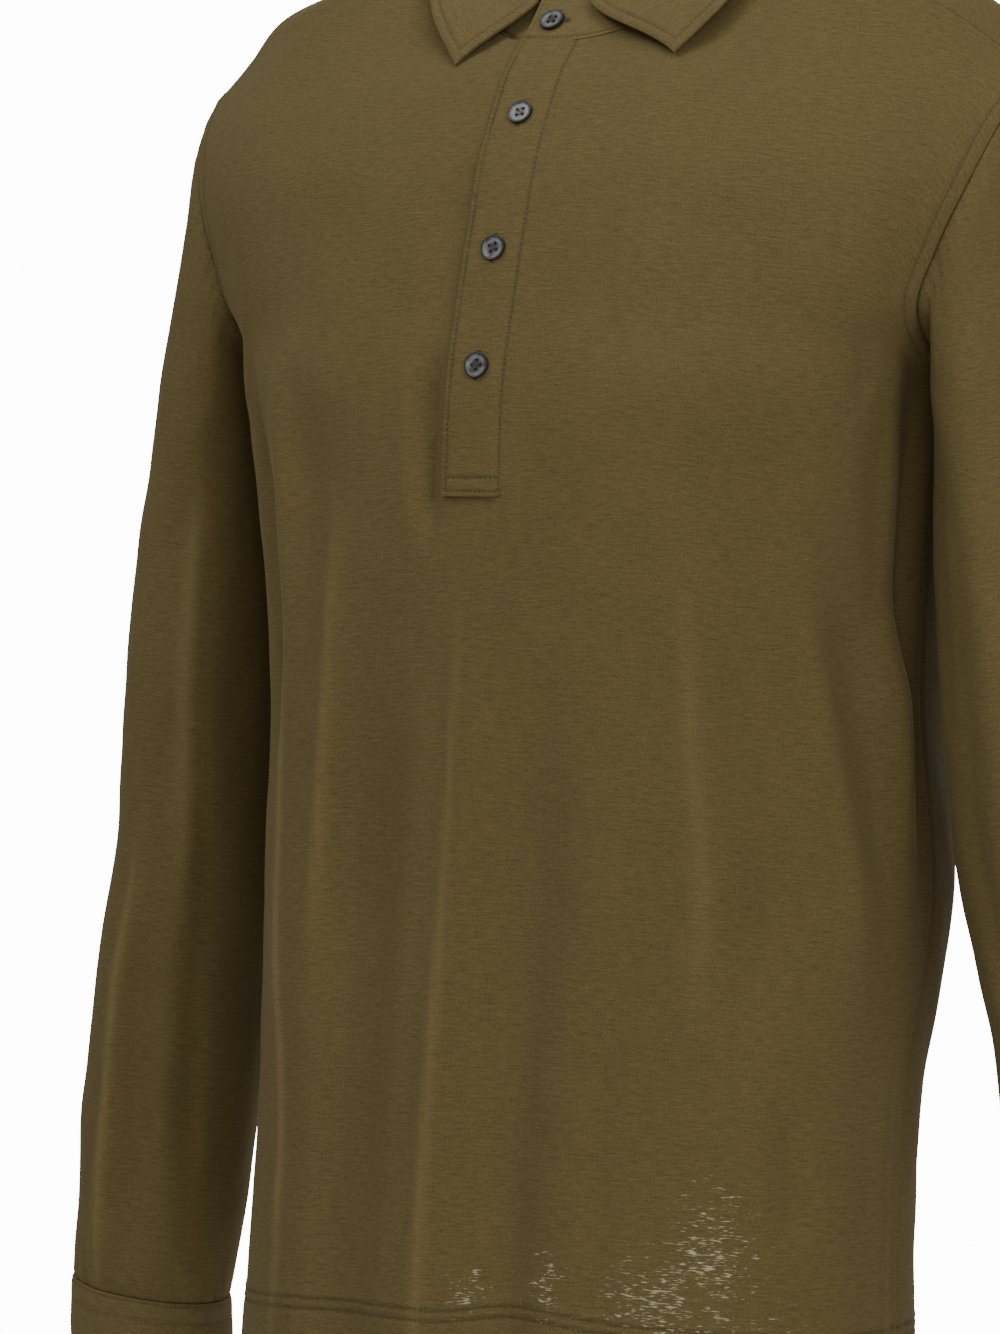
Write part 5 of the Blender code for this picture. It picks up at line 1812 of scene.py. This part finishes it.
@dataclass
class Placket:
    """The front opening: the lap that shows, and the one under it.

    Args:
        finish: The doubled cloth's material.
        cut: Width and length of the lap's cut; not used.
        under_cut: Width and length of the lower lap's cut; not used.
        free_edge_stitch: X of the stitches along the edge that lies free.
        sewn_edge_stitch: X of the stitches along the sewn edge.
        sewn_edge: X of the sewn edge.
        flush_from: X from which the lap thins out towards the sewn edge.
        box_rows: Heights of the stitches across the lower end.
    """

    finish: bpy.types.Material
    cut: tuple[float, float] = (0.034, 0.185)
    under_cut: tuple[float, float] = (0.029, 0.181)
    free_edge_stitch: float = -0.0147
    sewn_edge_stitch: float = 0.0140
    sewn_edge: float = 0.0152
    flush_from: float = 0.0070
    box_rows: tuple[float, float] = (0.0025, 0.0092)
    lap: Cloth = field(init=False)
    under: Cloth = field(init=False)

    def strip(
        self, front: Cloth, first: int, across: np.ndarray, low_trim: float
    ) -> tuple[np.ndarray, np.ndarray]:
        """Take a strip of the front's own points.

        Args:
            front: The front.
            first: Its first row in the strip.
            across: X of the strip's columns.
            low_trim: How much shorter the strip's first cell is.

        Returns:
            Points and normals.
        """
        rows = np.array([crossed(points, across) for points in front.grid[first:]])
        rows[0] += unit(rows[1] - rows[0]) * low_trim
        return rows, grid_normals(rows)

    def finer(self, rows: np.ndarray, step: float) -> np.ndarray:
        """Give a strip more rows, and closer ones at its lower end.

        Args:
            rows: The strip's points.
            step: Metres between the new rows.

        Returns:
            Points of the new rows.
        """
        run = np.concatenate([[0.0], np.cumsum(np.linalg.norm(np.diff(rows, axis=0), axis=2).mean(axis=1))])
        close = np.linspace(0, LAP_CLOSE_RUN, LAP_CLOSE_ROWS, endpoint=False)
        wanted = np.concatenate([close, np.arange(LAP_CLOSE_RUN, run[-1] - step / 2, step), [run[-1]]])
        flat = rows.reshape(len(rows), -1)
        made = np.stack([np.interp(wanted, run, column) for column in flat.T], axis=-1)
        return made.reshape(len(wanted), *rows.shape[1:])

    def build(self, front: Cloth, first: int) -> None:
        """Lay both laps on the front's form.

        Args:
            front: The front.
            first: Its first row beside the slit.
        """
        inner = SLIT_HALF_WIDTH - SEAM_GAP
        rows, normals = self.strip(front, first, np.linspace(-inner, inner, 9), SEAM_GAP)
        self.under = Cloth("placket_under_cloth", rows, normals)
        start, count = LAP_SEWN_COLUMNS
        parts = [np.linspace(*part) for part in (*LAP_COLUMNS, (start, self.sewn_edge, count))]
        across = np.concatenate(parts)
        rows, _ = self.strip(front, first, across, LAP_TRIM)
        rows = self.finer(rows, LAP_STEP)
        normals = grid_normals(rows)
        flush = smooth_step((across - self.flush_from) / (self.sewn_edge - self.flush_from))
        wall = PLACKET_WALL + (FLUSH_WALL - PLACKET_WALL) * np.repeat(flush[None], len(rows), axis=0)
        lap = rows + normals * (SEAM_GAP + wall)[..., None]
        self.lap = Cloth("placket_top_cloth", lap, normals, wall)

    def dress(self, stitching: Stitching) -> None:
        """Soften the lap's edges, make both laps and sew them.

        Args:
            stitching: How the stitches are made.
        """
        lap = self.lap
        x = lap.grid[:, :, 0]
        _, up = lap.lengths()
        edge = np.minimum(PLACKET_HALF_WIDTH + x, up)
        facing = lap.normals[:, lap.grid.shape[1] // 2]
        above_end = up[:, 0] >= LAP_STITCH_FROM
        rows = []
        groove = np.zeros(x.shape)
        for level in (self.free_edge_stitch, self.sewn_edge_stitch):
            groove = np.maximum(groove, LAP_GROOVE.share(x - level))
            line = np.array([crossed(row, np.array([level]))[0] for row in lap.grid])
            rows.append((line[above_end], facing[above_end]))
        within = (x > self.free_edge_stitch) & (x < self.sewn_edge_stitch)
        for level in self.box_rows:
            groove = np.maximum(groove, np.where(within, LAP_GROOVE.share(up - level), 0))
            rows.append(lap.line_at(up, level, np.s_[:, within[0]], upward=True))
        free = 1 - smooth_step((x - LAP_FREE) / LAP_FREE_FADE)
        at_edge = LAP_PUCKER_PLACE.at(edge)
        uneven = LAP_PUCKER.over(lap.grid) * at_edge + np.abs(LAP_WAVE.over(lap.grid))
        sunk = LAP_GROOVE.amount * groove * (LAP_FLAT_GROOVE + (1 - LAP_FLAT_GROOVE) * free)
        lap.raise_by(uneven * free - sunk + sum(roll.at(edge) for roll in LAP_ROLL))
        lap.mark("groove", groove)
        lap.mark("pucker_v", LAP_PUCKER_MARK * at_edge)
        self.under.make(self.finish, Slot.DOUBLED, ("placket_under",))
        lap.make(self.finish, Slot.DOUBLED, ("placket_top",))
        stitching.sew("placket_stitches", rows)


# The collar's forms, in metres unless they are shares
STAND_TOP_FRONT_REACH, STAND_TOP_BACK_REACH = 0.0575, 0.0590
STAND_TOP_HALF_WIDTH = 0.0665
STAND_TOP_Z = 0.0300
STAND_TOP_FRONT_DROP, STAND_TOP_BACK_RISE = 0.0820, 0.0080
STAND_LEAN_BACK, STAND_LEAN_FRONT = 0.25, 0.45
STAND_LATE_FROM, STAND_LATE_RUN = math.radians(285), math.radians(55)
STAND_PROUD_FROM, STAND_PROUD_FADE = 0.75, 0.2
STAND_COLUMNS = 240
STAND_STITCH, STAND_END_STITCH = 0.0021, 0.0022
STAND_GROOVE, STAND_DIP = Beside(0.0003, 0.0009), Beside(0.0004, 0.0010)
STAND_PUCKER = Beside(0.5, 0.004, 0.002)
LEAF_END_TURN = math.radians(8.1)
LEAF_END_COLUMNS, LEAF_COLUMNS = 13, 190
LEAF_ROLL_ROWS = 11
LEAF_FALL_SHARES = ((0.04, 0.84, 26), (0.87, 1.0, 9))
LEAF_TOP_PULL, LEAF_TOP_LEAN = 0.30, 0.06
LEAF_EDGE_PULL, LEAF_EDGE_RISE = 0.3, 0.06
LEAF_CALM_ROWS, LEAF_CALM_FROM = 14, 0.8
LEAF_GROOVE, LEAF_DIP = Beside(0.00035, 0.0009), Beside(0.0005, 0.0008)
LEAF_PUFF = Beside(0.00035, 0.0018, 0.0028)
LEAF_PUCKER = Beside(0.55, 0.004, 0.004)
LEAF_WAVE = Wave(0.050, 0.00035, 61)
LEAF_EDGE_ROW = 12


@dataclass
class Collar:
    """The stand round the neck and the leaf that turns down over it.

    Args:
        finish: The doubled cloth's material.
        stand_cut: Width and length of the stand's cut; not used.
        leaf_cut: Width and length of the leaf's cut; not used.
        topstitch: How far inside the leaf's edges its stitches lie.
    """

    finish: bpy.types.Material
    stand_cut: tuple[float, float] = (0.49, 0.036)
    leaf_cut: tuple[float, float] = (0.56, 0.085)
    topstitch: float = 0.0052
    stand: Cloth = field(init=False)
    leaf: Cloth = field(init=False)

    def stand_point(self, angle: np.ndarray, share: float) -> np.ndarray:
        """Find places on the stand's outer face.

        Args:
            angle: Angles round the neck.
            share: 0 at the neckline and 1 on top.

        Returns:
            A place for each angle.
        """
        angle = np.asarray(angle, float)
        base = neckline(angle)
        ahead = np.cos(angle)
        reach = np.where(ahead > 0, STAND_TOP_FRONT_REACH, STAND_TOP_BACK_REACH)
        drop = STAND_TOP_FRONT_DROP * (1.0 - np.clip(1.0 - ahead, 0, 1) ** NECK_DROP_CURVE)
        z = STAND_TOP_Z - np.where(ahead > 0, drop, STAND_TOP_BACK_RISE * ahead)
        top = np.stack([STAND_TOP_HALF_WIDTH * np.sin(angle), NECK_CENTRE_Y - reach * ahead, z], axis=-1)
        lean = STAND_LEAN_BACK + STAND_LEAN_FRONT * np.clip(ahead, 0, 1)
        outward = unit(np.stack([np.sin(angle), -ahead, lean], axis=-1))
        late = smooth_step((angle - STAND_LATE_FROM) / STAND_LATE_RUN)
        proud = STAND_PROUD * smooth_step((ahead - STAND_PROUD_FROM) / STAND_PROUD_FADE)
        return base + (top - base) * share + outward * (proud - STAND_LAYER_SHIFT * late)[..., None]

    def leaf_edge(self, turns: np.ndarray) -> np.ndarray:
        """Find the leaf's outer edge.

        Args:
            turns: -1 at the right point, 0 at the back and 1 at the left point.

        Returns:
            A place for each turn.
        """
        table = np.array([(edge.x, edge.y, edge.z) for edge in LEAF_EDGE])
        places = np.linspace(0, len(table) - 1, 8 * (len(table) - 1) + 1)
        fine = loft(table[:, None, :], places)[:, 0]
        knots = np.interp(places, np.arange(len(table)), [edge.turn for edge in LEAF_EDGE])
        side = np.abs(turns)
        points = np.stack([np.interp(side, knots, fine[:, axis]) for axis in range(3)], axis=-1)
        points = mirrored_where(points, turns)
        shift = np.where((np.asarray(turns) < 0)[:, None], RIGHT_POINT_SHIFT, LEFT_POINT_SHIFT)
        return points + shift * smooth_step((side - 0.5) / 0.5)[:, None]

    def build_stand(self) -> None:
        """Make the stand's form."""
        lap = math.asin(STAND_LAP / NECK_HALF_WIDTH)
        angles = np.linspace(-lap, 2 * math.pi + lap, STAND_COLUMNS)
        shares = np.concatenate([np.linspace(0, 0.16, 7), np.linspace(0.2, 1.0, 18)])
        grid = np.array([self.stand_point(angles, share) for share in shares])
        grid = grid + unit(grid[1] - grid[0])[None] * STAND_LIFT
        self.stand = Cloth("collar_stand_cloth", grid, grid_normals(grid), STAND_WALL)

    def build_leaf(self) -> None:
        """Make the leaf's form: a small roll over the stand's top, then a fall to its edge."""
        first, last = LEAF_FRONT_RIGHT, LEAF_FRONT_LEFT
        start, end = first - LEAF_END_TURN, last + LEAF_END_TURN
        angles = np.concatenate([
            np.linspace(first, start, LEAF_END_COLUMNS, endpoint=False),
            np.linspace(start, end, LEAF_COLUMNS, endpoint=False),
            np.linspace(end, last, LEAF_END_COLUMNS),
        ])
        turns = np.interp(angles, [last, math.pi, first], [1, 0, -1])
        top = self.stand_point(angles, 1.0)
        up = unit(top - self.stand_point(angles, 0.7))
        out = unit(np.cross(up, np.gradient(top, axis=0)))
        centre = top + up * (STAND_LIFT + ROLL_LIFT) + out * ROLL_CENTRE
        rows, roll = [], []
        for turn in np.linspace(math.pi, 0, LEAF_ROLL_ROWS):
            roll.append(out * math.cos(turn) + up * math.sin(turn))
            rows.append(centre + roll[-1] * ROLL_RADIUS)
        start, end = rows[-1], self.leaf_edge(turns)
        fall = np.linalg.norm(end - start, axis=1)[:, None]
        first_pull = start + fall * (out * LEAF_TOP_LEAN - up * LEAF_TOP_PULL)
        last_pull = end + fall * (np.array([0.0, 0.0, LEAF_EDGE_RISE]) - unit(end - start) * LEAF_EDGE_PULL)
        for share in np.concatenate([np.linspace(*part) for part in LEAF_FALL_SHARES]):
            rest = 1 - share
            rows.append(
                start * rest**3
                + 3 * first_pull * rest**2 * share
                + 3 * last_pull * rest * share**2
                + end * share**3
            )
        grid = np.array(rows)
        normals = grid_normals(grid)
        normals[: len(roll)] = roll
        self.leaf = Cloth("collar_cloth", grid, normals)

    def build(self) -> None:
        """Make both forms."""
        self.build_stand()
        self.build_leaf()

    def dress_stand(self, stitching: Stitching) -> None:
        """Make the stand and its edge stitches.

        Args:
            stitching: How the stitches are made.
        """
        stand = self.stand
        _, up = stand.lengths()
        groove = STAND_GROOVE.share(up - STAND_STITCH)
        stand.raise_by(-STAND_GROOVE.amount * groove - STAND_DIP.at(up))
        stand.mark("groove", groove)
        stand.mark("pucker_u", STAND_PUCKER.at(up))
        rows = [stand.line_at(up, STAND_STITCH, upward=True)]
        for edge, step in ((0, 1), (-1, -1)):
            rows.append(stand.line_at(stand.from_edge(edge), STAND_END_STITCH, np.s_[:, ::step]))
        stand.make(self.finish, Slot.DOUBLED, ("collar_stand",))
        stitching.sew("stand_stitches", rows)

    def dress_leaf(self, stitching: Stitching) -> None:
        """Ease the leaf's edges, make it and sew its topstitch.

        Args:
            stitching: How the stitches are made.
        """
        leaf, first = self.leaf, LEAF_EDGE_ROW
        edge = np.concatenate([leaf.grid[first:, 0], leaf.grid[-1], leaf.grid[: first - 1 : -1, -1]])
        gap, _ = gap_to(leaf.grid, edge)
        groove = LEAF_GROOVE.share(gap - self.topstitch)
        rows_down = np.arange(len(leaf.grid))[:, None]
        wave = LEAF_WAVE.over(leaf.grid) * smooth_step(rows_down / LEAF_CALM_ROWS - LEAF_CALM_FROM)
        leaf.raise_by(wave + LEAF_PUFF.at(gap) - LEAF_GROOVE.amount * groove - LEAF_DIP.at(gap))
        leaf.mark("groove", groove)
        leaf.mark("pucker_u", LEAF_PUCKER.at(gap))
        rows = [leaf.line_at(gap, self.topstitch, np.s_[::-1, :], upward=True)]
        rows += [leaf.line_at(gap, self.topstitch, np.s_[first:, ::step]) for step in (1, -1)]
        leaf.make(self.finish, Slot.DOUBLED, ("collar",))
        stitching.sew("collar_stitches", rows)

    def dress(self, stitching: Stitching) -> None:
        """Make and sew the stand and the leaf.

        Args:
            stitching: How the stitches are made.
        """
        self.dress_stand(stitching)
        self.dress_leaf(stitching)


# Where a buttonhole lies by its button
BUTTONHOLE_DEPTH = 0.00045
BUTTONHOLE_STAND_SHIFT = 0.0025
BUTTONHOLE_LIP = 0.00062


@dataclass
class Buttons:
    """Four four-hole buttons, the threads that hold them and the buttonholes that they pass.

    Args:
        finish: The shell's material.
        thread: The sewing thread's material.
        rim: Height of the raised rim.
        dish: Height of the sunken middle.
        foot: Width of the ring inset on the lower face.
        lip: Width of the rim.
        slope: Width of the slope from the rim down to the middle.
        flat: Width of the outer part of the middle.
        dome: How far the rest of the middle rises.
        edge: Width of the rounded edges.
        bar: Length, width and height of a bar of thread.
        sides: How many corners its outline has.
    """

    finish: bpy.types.Material
    thread: bpy.types.Material
    rim: float = 0.0024
    dish: float = 0.0015
    foot: float = 0.0010
    lip: float = 0.0007
    slope: float = 0.0010
    flat: float = 0.0008
    dome: float = 0.0001
    edge: float = 0.00032
    bar: tuple[float, float, float] = (0.0046, 0.00018, 0.00032)
    sides: int = 48

    def model(self) -> bpy.types.Object:
        """Model one button.

        Returns:
            The button, its lower face on the origin and its face up.
        """
        only(None)
        bpy.ops.mesh.primitive_cylinder_add(
            vertices=self.sides, radius=BUTTON_RADIUS, depth=self.rim, location=(0, 0, self.rim / 2)
        )
        item = bpy.context.object
        bpy.ops.object.mode_set(mode="EDIT")
        bpy.ops.mesh.select_mode(type="FACE")
        pick_faces(item, lambda centre, normal: normal.z < -0.9)
        bpy.ops.mesh.inset(thickness=self.foot, depth=0)
        pick_faces(item, lambda centre, normal: normal.z > 0.9)
        bpy.ops.mesh.inset(thickness=self.lip, depth=0)
        bpy.ops.mesh.inset(thickness=self.slope, depth=0)
        bpy.ops.transform.translate(value=(0, 0, self.dish - self.rim))
        bpy.ops.mesh.inset(thickness=self.flat, depth=0)
        bpy.ops.transform.translate(value=(0, 0, self.dome))
        bpy.ops.object.mode_set(mode="OBJECT")
        edge = item.modifiers.new("edge", "BEVEL")
        edge.width = self.edge
        edge.segments = 3
        edge.limit_method = "ANGLE"
        edge.angle_limit = math.radians(20)
        bpy.ops.object.modifier_apply(modifier=edge.name)
        self.drill(item)
        bpy.ops.object.shade_smooth_by_angle(angle=math.radians(35))
        return item

    def drill(self, item: bpy.types.Object) -> None:
        """Cut the four holes.

        Args:
            item: The button.
        """
        for across, up in ((-1, -1), (-1, 1), (1, -1), (1, 1)):
            only(None)
            place = (across * HOLE_PITCH, up * HOLE_PITCH, 0.001)
            bpy.ops.mesh.primitive_cylinder_add(vertices=20, radius=HOLE_RADIUS, depth=0.008, location=place)
            drill = bpy.context.object
            only(item)
            cut = item.modifiers.new("hole", "BOOLEAN")
            cut.operation = "DIFFERENCE"
            cut.solver = "EXACT"
            cut.object = drill
            bpy.ops.object.modifier_apply(modifier=cut.name)
            bpy.data.objects.remove(drill, do_unlink=True)

    def holding(self) -> bpy.types.Object:
        """Model the threads of one button.

        Returns:
            Two pairs of bars that cross over between the holes.
        """
        parts = []
        for turn in (math.radians(45), math.radians(135)):
            for shift in (-0.00012, 0.00012):
                only(None)
                bpy.ops.mesh.primitive_uv_sphere_add(segments=10, ring_count=10, radius=0.5)
                bar = bpy.context.object
                bpy.ops.object.mode_set(mode="EDIT")
                bpy.ops.mesh.select_all(action="SELECT")
                bpy.ops.transform.resize(value=self.bar, center_override=(0, 0, 0))
                bpy.ops.transform.translate(value=(0, shift, 0))
                bpy.ops.object.mode_set(mode="OBJECT")
                way = Matrix.Translation((0, 0, self.dish + (0.00018 if turn > 1 else 0.00002)))
                bar.data.transform(way @ Matrix.Rotation(turn, 4, "Z"))
                parts.append(bar)
        only(parts[0])
        for part in parts:
            part.select_set(True)
        bpy.ops.object.join()
        bpy.ops.object.shade_smooth()
        return bpy.context.object

    def ring_mark_with_painted_highlight(self, mesh: bpy.types.Mesh) -> None:
        """Mark the paler ring between the rim and the middle of a button: partly the shell's own colour,
        partly painted highlight.

        Args:
            mesh: The button's mesh, at the origin.
        """
        reach = np.array([math.hypot(vertex.co.x, vertex.co.y) for vertex in mesh.vertices])
        middle = 0.22 * (1 - smooth_step((reach - 0.0026) / 0.0006))
        outside = 1 - smooth_step((reach - 0.0050) / 0.0007)
        values = middle + smooth_step((reach - 0.0030) / 0.0006) * outside
        layer = mesh.attributes.new("ring", "FLOAT", "POINT")
        layer.data.foreach_set("value", values.astype(np.float32))

    def put(
        self, pattern: bpy.types.Object, name: str, pose: Matrix, skin: bpy.types.Material, node: str
    ) -> None:
        """Copy a modelled piece with its own mesh to its place.

        Args:
            pattern: The modelled piece.
            name: The copy's name.
            pose: Where it goes.
            skin: Its material.
            node: The node that it replaces, if any.
        """
        mesh = pattern.data.copy()
        mesh.name = name
        mesh.materials.clear()
        mesh.materials.append(skin)
        mesh.transform(pose)
        placed(linked(name, mesh), (node,) if node else ())

    def poses(self, lap: Cloth, collar: Collar) -> dict[str, tuple[np.ndarray, np.ndarray, float]]:
        """Find where the buttons lie.

        Args:
            lap: The placket's upper lap.
            collar: The collar.

        Returns:
            Place, normal and turn of each button, by its node's name.
        """
        middle = lap.grid.shape[1] // 2
        line, outs = lap.grid[:, middle], lap.normals[:, middle]
        found = {}
        for number, (z, turn) in enumerate(zip(PLACKET_BUTTON_Z, BUTTON_TURNS), start=1):
            point = np.array([0.0, np.interp(z, line[:, 2], line[:, 1]), z])
            normal = unit([0.0] + [np.interp(z, line[:, 2], outs[:, axis]) for axis in (1, 2)])
            found[f"button_{number}"] = (point + normal * 2 * SEAM_GAP, normal, turn)
        angle = -0.05
        beside = collar.stand_point(angle + 0.05, 0.5) - collar.stand_point(angle - 0.05, 0.5)
        normal = unit(np.cross(beside, collar.stand_point(angle, 0.8) - collar.stand_point(angle, 0.2)))
        found["button_stand"] = (collar.stand_point(angle, 0.5) + normal * 3 * SEAM_GAP, normal, 0.0)
        return found

    def dress(self, lap: Cloth, collar: Collar, stitching: Stitching) -> None:
        """Make every button, its threads and its buttonhole.

        Args:
            lap: The placket's upper lap.
            collar: The collar.
            stitching: How the stitches are made.
        """
        button, threads = self.model(), self.holding()
        self.ring_mark_with_painted_highlight(button.data)
        holes = []
        for node, (place, normal, turn) in self.poses(lap, collar).items():
            facing = Vector(normal).to_track_quat("Z", "Y").to_matrix().to_4x4()
            pose = Matrix.Translation(Vector(place)) @ facing @ Matrix.Rotation(turn, 4, "Z")
            self.put(button, f"{node}_shell", pose, self.finish, node)
            self.put(threads, f"{node}_thread", pose, self.thread, "")
            upright = node != "button_stand"
            up = Vector((0, 0, 1)) if upright else Vector((1, 0, 0))
            ahead = unit(np.array(up - Vector(normal) * up.dot(Vector(normal))))
            middle = place - normal * BUTTONHOLE_DEPTH + ahead * (0.0 if upright else BUTTONHOLE_STAND_SHIFT)
            runs = np.linspace(-0.5, 0.5, 21)[:, None] * BUTTONHOLE_LENGTH * ahead
            for sideways in (-BUTTONHOLE_LIP, BUTTONHOLE_LIP):
                line = middle + np.cross(normal, ahead) * sideways + runs
                holes.append((line, np.repeat(normal[None], len(runs), axis=0)))
        for pattern in (button, threads):
            bpy.data.objects.remove(pattern, do_unlink=True)
        close = Stitching(length=0.0012, width=0.00042, height=0.00034, finish=stitching.finish)
        close.sew("buttonhole_stitches", holes, pitch=0.00045, across=True)


# Each lamp's name, place, width and power, and the place that they all face
LAMPS = (
    ("front", (1.7, -2.3, 0.3), 1.6, 23.0),
    ("high_left", (-1.3, -1.3, 1.9), 1.3, 34.0),
    ("right_front", (2.55, -1.5, 0.8), 1.4, 34.0),
    ("top", (0.3, -0.3, 2.2), 1.6, 20.0),
    ("back", (0.0, 2.4, 1.2), 1.6, 36.0),
)
LIT_PLACE = (0.0, 0.0, -0.35)


@dataclass
class Studio:
    """A plain pale floor, soft light and the camera.

    Args:
        floor: The floor's paint.
        floor_z: Height of the floor.
        surroundings: How brightly the white room lights the shirt.
        backdrop: How bright the room is behind it.
        distance: From the camera to the shirt's centre line.
        turn: How far the camera stands round to the wearer's left.
        tilt: How far it looks down.
        lens: Its focal length in millimetres.
        aside: How far it stands to the side of the centre line.
        height: Its height.
    """

    floor: FloorPaint
    floor_z: float = -1.62
    surroundings: float = 0.30
    backdrop: float = 14.0
    distance: float = 3.0
    turn: float = math.radians(30)
    tilt: float = math.radians(2.6)
    lens: float = 161.92
    aside: float = -0.0565
    height: float = -0.245

    def lay_floor(self) -> None:
        """A wide floor under the shirt."""
        only(None)
        bpy.ops.mesh.primitive_plane_add(size=7.0, location=(0, 0, self.floor_z))
        floor = bpy.context.object
        floor.name = "floor"
        floor.data.materials.append(self.floor.make())

    def light(self) -> None:
        """White surroundings and five soft lamps."""
        world = bpy.data.worlds.new("white_room")
        world.use_nodes = True
        graph = Graph(world.node_tree)
        around = world.node_tree.nodes["Background"]
        behind = graph.node("ShaderNodeBackground")
        for room, strength in ((around, self.surroundings), (behind, self.backdrop)):
            graph.fed(room, {"Color": (1.0, 1.0, 1.0, 1.0), "Strength": strength})
        straight = graph.node("ShaderNodeLightPath").outputs["Is Camera Ray"]
        mix = graph.fed(
            graph.node("ShaderNodeMixShader"), {0: straight, 1: around.outputs[0], 2: behind.outputs[0]}
        )
        graph.feed(world.node_tree.nodes["World Output"].inputs["Surface"], mix.outputs[0])
        bpy.context.scene.world = world
        for name, place, size, power in LAMPS:
            lamp = bpy.data.lights.new(name, "AREA")
            lamp.shape = "DISK"
            lamp.size = size
            lamp.energy = power
            item = linked(name, lamp)
            item.location = place
            item.rotation_euler = (Vector(LIT_PLACE) - Vector(place)).to_track_quat("-Z", "Y").to_euler()

    def set_camera(self) -> None:
        """Stand the camera where the picture was taken from."""
        right = np.array([math.cos(self.turn), math.sin(self.turn), 0.0])
        ahead = np.array([-math.sin(self.turn), math.cos(self.turn), 0.0])
        lens = bpy.data.cameras.new("camera")
        lens.lens = self.lens
        lens.sensor_width = 36.0
        lens.clip_end = 60.0
        camera = linked("camera", lens)
        camera.location = (*(right * self.aside - ahead * self.distance)[:2], self.height)
        camera.rotation_euler = (math.pi / 2 - self.tilt, 0.0, self.turn)
        bpy.context.scene.camera = camera

    def build(self) -> None:
        """Set up the floor, the light and the camera."""
        self.lay_floor()
        self.light()
        self.set_camera()


def main() -> None:
    """Build the shirt piece by piece, then the studio."""
    logging.basicConfig(level=logging.INFO, format="%(name)s: %(message)s")
    jersey = Jersey("slub_jersey_olive", (0.105, 0.0784, 0.0292)).make()
    doubled = Jersey("slub_jersey_doubled", (0.115, 0.0865, 0.0335), 0.9, 0.00020).make()
    # Painted shade: the stitch thread is far darker than the cloth, standing for the shaded needle holes
    # between stitches.
    thread = Thread("olive_thread_painted_shade", (0.026, 0.019, 0.008)).make()
    grey_thread = Thread("grey_thread", (0.045, 0.041, 0.036)).make()
    stitching = Stitching(finish=thread)

    body = Body(jersey)
    body.build()
    placket = Placket(jersey)
    placket.build(body.front, body.slit_row)
    collar = Collar(doubled)
    collar.build()
    sleeves = [Sleeve(side, jersey, doubled) for side in Side]
    for sleeve in sleeves:
        sleeve.build(body.ring, body.ring_normals, body.ring_top)
    Buttons(ShellFinish("smoky_shell", (0.016, 0.015, 0.014), (0.15, 0.15, 0.155)).make(), grey_thread).dress(
        placket.lap, collar, stitching
    )
    body.dress(stitching)
    placket.dress(stitching)
    collar.dress(stitching)
    for sleeve in sleeves:
        sleeve.dress(stitching)
    Studio(FloorPaint("pale_floor", (0.86, 0.86, 0.85))).build()

    bpy.context.view_layer.update()
    LOG.info("boxes written")


if __name__ == "__main__":
    main()
